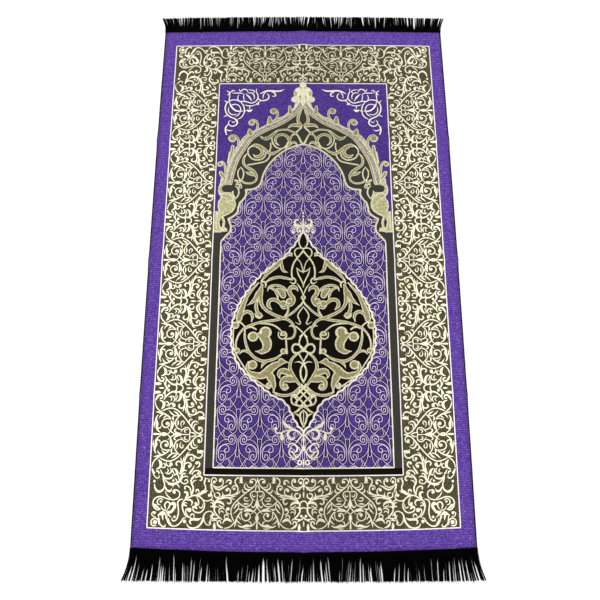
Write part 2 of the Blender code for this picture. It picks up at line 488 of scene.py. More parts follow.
def weave(name, runs, finish, base):
    """Raised thread along the runs, as one piece that starts `base` mm above the cloth."""
    flat = [[(x, y, 0.0, width / 2) for x, y, width in run] for run in runs]
    mesh = curve_mesh(name, flat, tent)
    lay_mesh(mesh, base)
    mesh.shade_smooth()
    mesh.set_sharp_from_angle(angle=FLAT_ANGLE)
    return piece(name, mesh, [finish])


tent = section("tent", ((1, 0), (0, TENT_HEIGHT), (-1, 0)))
print("ridge of a 3 mm stroke:", 1.5 * TENT_HEIGHT, "mm high")


# %% [markdown]
# ## Grounds
# Where the loom lifts dark yarn over an area, the ornament has a ground of its own. A ground is a flat
# filled curve, given a hair's thickness and cut into strips across every crease, so that it can follow the
# cloth. A second outline inside the first leaves a hole.

# %% Filled grounds
CREASE_CELL, PLAIN_CELL = 2.5, 15.0  # mm between two cuts, near a crease and away from it
CREASE_CUTS = 10  # on each side of a crest
GROUND_HALF_X, GROUND_HALF_Y = 320.0, 560.0  # no ground reaches further from the middle of the cloth
HALF_GROUND = 0.1  # mm, half the thickness of a ground


def plain_rows(half, creases):
    """Even rows that keep off the creases."""
    count = int(half / PLAIN_CELL)
    places = [i * PLAIN_CELL for i in range(-count, count + 1)]
    clear = CREASE_CUTS * CREASE_CELL + 1.0
    return [place for place in places if all(abs(place - at) > clear for at in creases)]


def crease_rows(at):
    """Close rows on both sides of a crest."""
    return [at + i * CREASE_CELL for i in range(-CREASE_CUTS, CREASE_CUTS + 1)]


GROUND_ROWS_X = crease_rows(0.0) + plain_rows(GROUND_HALF_X, [0.0])
GROUND_ROWS_Y = [row for crease in CROSSWAYS for row in crease_rows(crease["at"])]
GROUND_ROWS_Y += plain_rows(GROUND_HALF_Y, [crease["at"] for crease in CROSSWAYS])
print("cuts in a ground:", len(GROUND_ROWS_X), "by", len(GROUND_ROWS_Y))


def cut_rows(made, places, axis):
    """Cuts a mesh across the X axis (0) or the Y axis (1) at these places."""
    for place in places:
        point, normal = [0.0] * 3, [0.0] * 3
        point[axis], normal[axis] = place, 1.0
        everything = made.verts[:] + made.edges[:] + made.faces[:]
        bmesh.ops.bisect_plane(made, geom=everything, dist=0.001, plane_co=point, plane_no=normal)


def ground(name, outlines, finish, top):
    """A ground with its top this many mm above the cloth."""
    shape = bpy.data.curves.new(name, "CURVE")
    shape.dimensions = "2D"
    shape.fill_mode = "BOTH"
    shape.extrude = HALF_GROUND
    for outline in outlines:
        spline = shape.splines.new("POLY")
        spline.points.add(len(outline) - 1)
        for point, (x, y) in zip(spline.points, outline):
            point.co = (x, y, 0, 1)
        spline.use_cyclic_u = True
    mesh = mesh_of(name, shape)
    made = bmesh.new()
    made.from_mesh(mesh)
    bmesh.ops.remove_doubles(made, verts=made.verts, dist=0.001)
    bmesh.ops.dissolve_limit(made, angle_limit=0.002, verts=made.verts, edges=made.edges)
    cut_rows(made, GROUND_ROWS_X, 0)
    cut_rows(made, GROUND_ROWS_Y, 1)
    made.to_mesh(mesh)
    made.free()
    lay_mesh(mesh, top - HALF_GROUND)
    return piece(name, mesh, [finish])


def rectangle(half_x, low_y, high_y):
    """The corners of a rectangle about the line x = 0."""
    return [(-half_x, low_y), (half_x, low_y), (half_x, high_y), (-half_x, high_y)]


# %% [markdown]
# ## The field's lattice
# The purple field is covered by a half-drop repeat: tall ogee cells whose stems fork, cross and curl into
# pairs of spirals. The next column sits half a repeat lower, as on wallpaper. It could be one wave-like
# curve array, but then every crossing would have to come out right by itself, so the right half of one cell
# is listed stroke by stroke and mirrored. Stems are finer than spirals. The lines break off where the
# medallion or the niche's frame covers them.

# %% One cell of the lattice, from the middle of its diamond
COLUMN_PITCH, ROW_PITCH = 46.0, 120.0
FINE, SPIRAL = 1.05, 1.6  # widths of a stem of the lattice and of its spirals

lattice_half = [
    # the stem above the diamond, which parts round it and runs on to the next column
    pen([(2.4, 28), (3.6, 19), (4.8, 11), (7, 4), (11, -3), (15.5, -8.5), (20.5, -12.8), (25, -15)], FINE),
    pen([(3.6, 19), (2.8, 13.5), (0, 11)], FINE),
    pen([(22, 8.5), (17.5, 7), (14, 2), (11, -3)], FINE),
    # from the diamond's side down to the almond under it, and the almond's own arch
    pen([(11, -3), (6.5, -8), (4.4, -14), (4.4, -21), (3.0, -29), (1.8, -34)], FINE),
    pen([(4.4, -16.5), (3, -13.6), (0, -12.6)], FINE),
    # the arc that comes in from the side, down the stem and out again to a hook
    pen([(25, -15), (20, -14.6), (14, -16.5), (8.5, -21.5), (4.4, -28), (2.2, -34), (2.1, -44), (2.4, -54)],
        FINE),
    pen([(2.4, -54), (5.5, -59.5), (11, -62.5), (16, -66), (21.5, -69), (27, -67.5), (30, -61.5),
        (27.5, -55)], FINE),
    # the hook that curls into the upper spiral
    pen([(23, -32), (19.6, -34.5), (20.5, -38.5), (25.5, -39), (28.4, -35), (27.6, -29), (22.5, -25.2),
        (16.5, -25.4), (10.7, -29.6), (7.6, -36), (6.2, -43), (7.4, -50.4), (12.4, -55), (17.4, -51.8),
        (17.8, -46.4), (14, -43.4), (10.8, -46.2), (12, -49.6)], SPIRAL),
    # the arc outside that spiral, which crosses to the middle line and leaves it again
    pen([(10.7, -38), (16, -37), (20.4, -40.5), (21.6, -46), (20.6, -52), (16.5, -58), (11, -62.5),
        (4.8, -67), (1.8, -73), (1.5, -81), (2.4, -90), (5.7, -99.7), (11.5, -106), (17.5, -110.5),
        (24, -114.5)], FINE),
    # the lower spiral and the long arc it grows from
    pen([(14.6, -75.4), (14, -72.2), (10.4, -72.8), (10, -77), (13.8, -79.8), (18.6, -77), (18.8, -71),
        (14.2, -66.8), (8.6, -67.8), (5.4, -73), (5.6, -79.4), (9.6, -84), (15.4, -83.4), (21, -82.6),
        (27, -83.6), (33, -86.4), (38.5, -91), (42.4, -98), (43.9, -106)],
        SPIRAL, (1, 1, 1, 0.9, 0.75, 0.65)),
]
lattice_cell = mirrored(lattice_half)
print("strokes in a cell:", len(lattice_cell))

# %% [markdown]
# ## Outlines that everything hangs on
# The niche's opening, the frame above it and the medallion are closed outlines about the rug's middle line,
# so only their left halves are listed, read from the photograph as the strokes are. The medallion's edge is
# scalloped: its smooth outline is pushed outwards in small even arcs.

# %% Outlines
def both_sides(half):
    """A closed outline from its left half, which starts and ends on the middle line."""
    inner = half[1:-1]
    return half + [(-x, y) for x, y in inner[::-1]]


def inside(x, y, ring):
    """Whether a point lies inside a closed outline, by counting the edges that it looks across."""
    crossings = 0
    for (ax, ay), (bx, by) in zip(ring, ring[1:] + ring[:1]):
        if (ay > y) != (by > y) and x < ax + (y - ay) / (by - ay) * (bx - ax):
            crossings += 1
    return crossings % 2 == 1


def scalloped(ring, pitch, depth, margin=0.0):
    """The outline pushed outwards by a margin and by arcs of this pitch, in mm."""
    count = len(ring)
    total = sum(math.dist(ring[i], ring[i - 1]) for i in range(count))
    arcs = round(total / pitch)
    pushed, walked = [], 0.0
    for i, (x, y) in enumerate(ring):
        ax, ay = ring[i - 1]
        bx, by = ring[(i + 1) % count]
        normal = Vector((by - ay, ax - bx)).normalized()
        if i:
            walked += math.dist((x, y), (ax, ay))
        push = margin + depth * abs(math.sin(math.pi * arcs * walked / total))
        pushed.append((x - normal.x * push, y - normal.y * push))
    return pushed


BORDER_OUTER_X, BORDER_FAR_Y, BORDER_NEAR_Y = 318.0, 560.0, -562.0
BORDER_INNER_X, PANEL_FAR_Y, PANEL_NEAR_Y = 206.0, 452.0, -459.0
FIELD_X, FIELD_NEAR_Y = 187.5, -444.3
FOOT_Y = 44.0  # where the field's straight sides start, under the feet of the niche
BRACKET_Y = 66.0  # where the side guards end under the niche's frame

opening_half = [(0, 287), (-22, 282), (-43, 272), (-60, 259), (-75, 243), (-87, 225), (-95, 206), (-99, 190),
    (-106, 179), (-118, 173), (-134, 171.5)]
shoulder_half = [(-134, 171.5), (-133, 160), (-139, 148), (-147, 139)]
hip_half = [(-147, 139), (-150, 128), (-152, 116), (-161, 106), (-173, 99)]
foot_half = [(-173, 99), (-169, 90), (-166, 80), (-168, 68), (-176, 58), (-186, 46)]
opening = [p for part in (opening_half, shoulder_half, hip_half, foot_half) for p in rounded(part)]
field_ring = both_sides(opening + [(-FIELD_X, FOOT_Y), (-FIELD_X, FIELD_NEAR_Y), (0, FIELD_NEAR_Y)])

medallion_half = [(0, 73), (-11, 56), (-19, 40), (-30, 27), (-42, 11), (-58, -3), (-75, -15), (-92, -30),
    (-108, -48), (-124, -68), (-138, -89), (-148, -110), (-155, -132), (-159.5, -155), (-159.5, -180),
    (-156, -203), (-147, -227), (-134, -246), (-117, -262), (-99, -277), (-82, -290), (-65, -302),
    (-50, -308.5), (-38, -318), (-28, -335), (-17, -356), (0, -376)]
SCALLOP = {"pitch": 18.0, "depth": 2.8}
medallion_outline = both_sides(rounded(medallion_half, 1.2))
medallion_ring = scalloped(medallion_outline, **SCALLOP)
medallion_rim = scalloped(medallion_outline, **SCALLOP, margin=3.0)  # the black outside the pale line
print("medallion outline:", len(medallion_ring), "points")


# %% [markdown]
# ## Weaving the field
# The field is woven in three layers: a purple ground, dark yarn, and the lattice on top. The dark yarn is the
# lattice itself, drawn with a much wider pen and woven lower, so that each pale line gets a dark edge on both
# sides. Painting that edge would need an image. Every height below is in mm above the face of the cloth, and
# layers that overlap lie at least 0.02 mm apart, or they would flicker through each other.

# %% Ground of the panel
panel = rectangle(BORDER_INNER_X, PANEL_NEAR_Y, PANEL_FAR_Y)
ground("panel_ground", [panel], field_yarn, top=0.04)

# %% Lattice over the field
LOWEST_DIAMOND_Y = -494.5  # middle of the lowest diamond on the rug's middle line, under the near border
COLUMNS, ROWS = range(-5, 6), range(-1, 8)  # enough of them to cover the field
LATTICE_CHORD, SHADOW_CHORD = 1.6, 4.0  # mm. The spirals are small, and the dark yarn can be coarse
SHADOW = 5.2  # width of the dark yarn under the lattice, which shows as an outline


def in_field(place):
    """Whether a point is on the field, off the medallion."""
    return inside(place.x, place.y, field_ring) and not inside(place.x, place.y, medallion_ring)


cells = []
for column in COLUMNS:
    for row in ROWS:
        drop = ROW_PITCH / 2 if column % 2 else 0.0
        origin = (column * COLUMN_PITCH, LOWEST_DIAMOND_Y + row * ROW_PITCH + drop)
        cells += placed(lattice_cell, origin)
lattice_runs = stretches([smooth(stroke, LATTICE_CHORD) for stroke in cells], in_field)
print("lattice runs:", len(lattice_runs))
weave("field_lattice", [capped(run) for run in lattice_runs], lilac_yarn, base=0.20)
shadows = [[Vector((p.x, p.y, SHADOW)) for p in smooth(stroke, SHADOW_CHORD)] for stroke in cells]
weave("lattice_shadows", stretches(shadows, in_field), shadow_yarn, base=0.06)

# %% [markdown]
# ## The border
# The broad border repeats every 190 mm and mirrors about two kinds of axis: one where two vines meet in a
# heart with a bud inside, and one where their leaves close round a vase-shaped palmette. So half a repeat
# is enough: it runs from a heart's axis to a palmette's axis, and from the inner edge of the border
# outwards. Placed along each side it makes the straight bands. The four corner squares have an ornament of
# their own, and one drawing of it serves all four by turning its axes round.

# %% Half a repeat, from the heart's axis (x = 0) to the palmette's (x = 95)
BORDER_REPEAT = 190.0
BORDER_DEPTH = 104.0  # as drawn, from the inner line outwards

border_half = [
    # the main vine of the heart, from its hook on the inner line to the outer corner
    pen([(15.3, 12), (14.7, 7.2), (11, 4.8), (5.8, 5.6), (2.6, 10.4), (4.7, 16.7), (11, 23), (20.5, 30.4)],
        2.8),
    pen([(20.5, 30.4), (30, 37.7), (38.4, 45.1), (45.8, 52.5), (50.5, 59.3), (53.2, 66.7), (53, 74)], 2.8),
    pen([(53, 74), (50.5, 81.4), (47.4, 87.7)], 2.8, (1, 1, 0.7)),
    bead(12, 10.8, 3.2),
    pen([(0, 3), (1, 9), (3.4, 15)], 2.2),
    # leaves and hooks on the vine
    pen([(14.2, 25), (18.4, 26.4), (23.7, 24.8), (26.8, 20.9), (26.3, 16.2), (22.6, 12.5)],
        3.4, (0.5, 1, 1.1, 1, 0.7, 0.3)),
    pen([(9, 21.5), (14.2, 22), (19.5, 20.6), (21.6, 17.7), (20.5, 15.6)], 2.4, (0.5, 1, 1, 1, 0.6)),
    pen([(24.7, 31.8), (29, 31), (30.8, 28.3), (30, 25.5)], 3.6, (0.6, 1, 0.9, 0.4)),
    pen([(39, 53), (43, 57.5), (47, 64)], 4.4, (0.3, 1, 0.3)),
    pen([(38, 62), (42, 68), (48, 73.8)], 3.6, (0.4, 1, 0.3)),
    pen([(38.8, 54), (37.5, 59), (38.5, 64)], 2.2),
    # rings and the bud on the heart's axis
    pen([(0.5, 17), (3.2, 22), (4.6, 28.5)], 3.2, (0.5, 1, 0.4)),
    pen([(0, 30.5), (5, 29.3), (10.5, 30), (14, 34.5), (13.5, 39.5), (10, 44), (5.5, 47.5)],
        2.6, (0.8, 1, 1, 1, 1, 0.9, 0.5)),
    pen([(10, 34.5), (9.6, 38.6), (6.5, 40.5), (4, 38)], 2.8, (0.5, 1, 1, 0.6)),
    pen([(0, 30), (0, 37), (0, 45)], 2.0),
    pen([(0, 44.5), (0, 50), (0, 56), (0, 61)], 9.0, (0.2, 0.85, 1, 0.5)),
    pen([(3, 53), (5.2, 59), (8.6, 61), (11, 58)], 3.2, (0.6, 1, 1, 0.7)),
    pen([(1, 61), (4.5, 66.5), (11.5, 74)], 2.6, (0.8, 1, 0.4)),
    pen([(8, 67.5), (4, 71), (0, 75)], 2.2, (0.6, 1, 0.8)),
    pen([(0, 74), (0, 79), (0, 84), (0, 89)], 9.0, (0.2, 0.9, 1, 0.3)),
    pen([(0, 89), (0, 95), (0, 101.5)], 4.6, (0.4, 0.9, 1)),
    # the arc inside the heart, with a lens and a hook over it
    pen([(9.5, 45), (11, 52), (15.5, 57.4), (22.6, 59.4), (30, 58), (35.5, 54), (40, 49.5)],
        2.6, (0.6, 1, 1, 1, 1, 1, 0.8)),
    pen([(17, 54.8), (23, 54), (29.5, 55)], 3.6, (0.3, 1, 0.3)),
    pen([(19.5, 44), (23, 42), (26.8, 43.6), (25.5, 47.6), (20, 48.6), (15, 46.6)],
        2.6, (0.5, 1, 1, 1, 0.8, 0.4)),
    # the pod, the spiral under it and the boat-shaped leaf on the outer line
    pen([(8, 68.4), (14, 66.8), (20, 66), (26.5, 68.4)], 6.6, (0.3, 1, 1.1, 0.4)),
    pen([(18.5, 63.6), (23.5, 62), (27.5, 63.8)], 2.6, (0.5, 1, 0.5)),
    pen([(30.5, 65), (34.5, 65.4), (38, 63.6)], 3.6, (1.2, 0.9, 0.5)),
    pen([(21.5, 79), (24.4, 76), (21, 72.4), (16, 73.6), (13.6, 79), (16.5, 85), (23, 87.2), (29.5, 83.5),
        (32, 76.5), (31, 69.5)], 2.6, (0.8, 1, 1, 1, 0.8)),
    bead(21, 76.4, 2.8),
    pen([(3, 89), (7, 94), (13.5, 97.3), (20.5, 96.8), (27, 98.6), (33, 99), (38.5, 96)],
        5.6, (0.4, 0.5, 0.8, 1.3, 0.9, 0.6, 0.3)),
    pen([(12, 94.5), (12.6, 90), (17, 88.6)], 2.8, (1, 1, 0.4)),
    pen([(13, 102), (20, 102.6), (27, 101.4)], 2.8, (0.3, 1, 0.3)),
    # the second vine, which meets the first at the outer line
    pen([(32, 69), (34.5, 72), (38.3, 77), (41.6, 83.5), (43.7, 90.9), (45.3, 99.5)],
        3.4, (0.5, 0.8, 1, 1, 1.4, 0.5)),
    pen([(38.5, 77.5), (36, 81), (32.3, 85.4)], 2.8, (0.8, 1, 0.3)),
    pen([(41.5, 85), (38, 90), (32, 93.8)], 3.0, (0.8, 1, 0.3)),
    pen([(46, 90), (50, 95.5), (57, 100.5), (66, 102.6)], 2.8, (0.8, 1, 1, 0.6)),
    # outside the heart: the blossom on the inner line and the long stem of the acanthus
    pen([(33.4, 2.5), (34, 7), (33.4, 11)], 8.4, (0.7, 1, 0.7)),
    pen([(29.3, 12.6), (33, 11.6), (37.4, 12.6)], 2.8, (0.5, 1, 0.5)),
    pen([(38.4, 2.6), (42.6, 3.6), (45.8, 7.7), (45.8, 13), (42.6, 17.7), (40.2, 23), (40, 28), (41.6, 32),
        (46, 35.4)], 3.2),
    pen([(46, 35.4), (52.1, 37.4), (58.4, 38), (64, 38.4), (69, 39.8), (73.5, 43), (78, 46)],
        3.6, (0.9, 1, 1.1, 1, 1.2, 1.6, 1)),
    pen([(35.2, 28), (37.6, 32.4), (42.6, 35.4)], 3.0, (0.3, 1, 0.8)),
    pen([(52.2, 25), (51, 20), (47, 18.2), (42.8, 20)], 2.6, (0.5, 1, 1, 0.8)),
    bead(47.6, 24.8, 3.2),
    pen([(55.5, 14.4), (54.3, 9.6), (58.2, 7.2), (62.6, 8.8), (65.6, 12.8)], 3.8, (0.9, 1, 1, 0.8, 0.3)),
    bead(56, 13.6, 3.2),
    pen([(63.5, 25), (60, 23.8), (56.4, 27), (55.6, 32), (58, 36), (62, 38)], 2.8, (0.6, 1, 1, 1, 0.9, 0.8)),
    bead(62.6, 27.4, 3.6),
    pen([(79, 9), (77, 5), (73, 6), (70.5, 12), (72, 17.5), (76.5, 21), (83, 22), (88, 20)],
        3.2, (0.6, 1, 1, 1, 0.9, 0.9, 0.9, 0.6)),
    bead(76.8, 9.2, 3.4),
    pen([(61.5, 18), (67.9, 20.9), (73.2, 24.6), (79.5, 26.9), (84.7, 25.4), (89, 22)],
        3.8, (0.4, 1, 1.1, 1.1, 1, 0.7)),
    # the curls under the palmette, on the inner line
    pen([(84.3, 10), (85.6, 5.2), (90, 2.8), (94, 5.5), (95, 11)], 2.8, (0.7, 1, 1, 1, 0.8)),
    bead(89, 11.6, 3.6),
    pen([(95, 11), (93, 17), (88.6, 21)], 2.6),
    pen([(95, 15), (95, 19), (95, 25)], 4.6, (0.5, 1, 0.5)),
    pen([(95, 29), (95, 34.5), (95, 40)], 4.4, (0.4, 1, 0.4)),
    # leaves of the acanthus
    pen([(72, 32), (70.4, 37), (74, 42)], 3.2, (0.3, 1, 1)),
    pen([(61, 52.6), (57.6, 54.6), (54, 51.8), (53.6, 47.4), (57, 43.6), (63.5, 42.4), (70, 43.4), (77, 45)],
        3.4, (0.9, 1, 1, 1, 1, 1, 1.4, 1.2)),
    pen([(43, 38.6), (49, 39.8), (55, 42), (60, 43)], 2.8, (0.4, 1, 1, 0.6)),
    pen([(46.5, 46), (51, 44.3), (55, 45)], 2.6, (0.4, 1, 0.6)),
    pen([(67.5, 58.4), (70, 54.5), (76, 51.4), (82, 51), (87, 53.6)], 5.6, (0.3, 0.9, 1.1, 1, 0.6)),
    pen([(67.6, 60.6), (73, 60.4), (78.5, 57)], 2.8, (0.5, 1, 0.6)),
    pen([(66.5, 66), (71, 63.2), (76, 64.6), (78, 69), (76.5, 76)], 3.0, (0.4, 1, 1, 1, 0.4)),
    pen([(68.6, 71.6), (72, 69), (76, 71.8)], 2.8, (0.6, 1, 0.6)),
    pen([(63, 66), (63.4, 70), (60, 73.5), (55.2, 74.6)], 2.8, (1, 1, 1, 0.4)),
    bead(59.5, 64.6, 4.2),
    # the palmette on the second axis
    pen(curl(82, 37.4, 6.2, 4.6, -30, 310), 3.0),
    pen([(79.5, 43.5), (83.7, 49.8), (87.6, 55)], 4.6, (0.7, 1, 0.8)),
    pen([(87.6, 54), (86.4, 60.4), (87.6, 66.7), (85, 73), (80.5, 78.3), (76.3, 81.6)],
        3.6, (0.9, 1, 1.1, 1, 1, 0.7)),
    pen([(88, 52), (91, 48.4), (95, 47.4)], 3.0),
    pen([(88, 63), (91, 61), (95, 60.4)], 2.8),
    pen([(77, 62), (82, 60.4), (86.5, 62)], 2.6, (0.4, 1, 1)),
    bead(90.4, 76.8, 3.2),
    pen([(71, 85.4), (76, 82.5), (82, 83.6), (87, 84), (91.5, 83), (95, 78.6)], 3.2, (0.6, 1, 1, 1, 1, 0.8)),
    pen([(81.6, 88.6), (85, 86.4), (89, 85.4)], 2.6, (0.4, 1, 0.6)),
    pen([(95, 87), (95, 91), (95, 96)], 4.2, (0.5, 1, 0.5)),
    pen([(86, 93), (86.2, 98), (85.6, 103)], 7.4, (0.4, 1, 0.8)),
    # the tulip beside it, on the outer line
    pen([(51.5, 89.4), (56, 86), (62, 84.6), (67, 88), (69.4, 93)], 7.0, (0.3, 0.9, 1, 0.6, 0.3)),
    pen([(58, 80), (60, 76.5), (64, 76), (66.5, 79), (65.5, 83)], 2.8, (0.6, 1, 1, 1, 0.6)),
    pen([(73.4, 92.6), (74.5, 88.6), (78.5, 88.4), (80.4, 93), (77, 98), (70, 101.6)],
        3.4, (0.9, 0.9, 1, 1.2, 1.6, 1)),
]
border_repeat = mirrored(border_half)
print("strokes in a border repeat:", len(border_repeat))


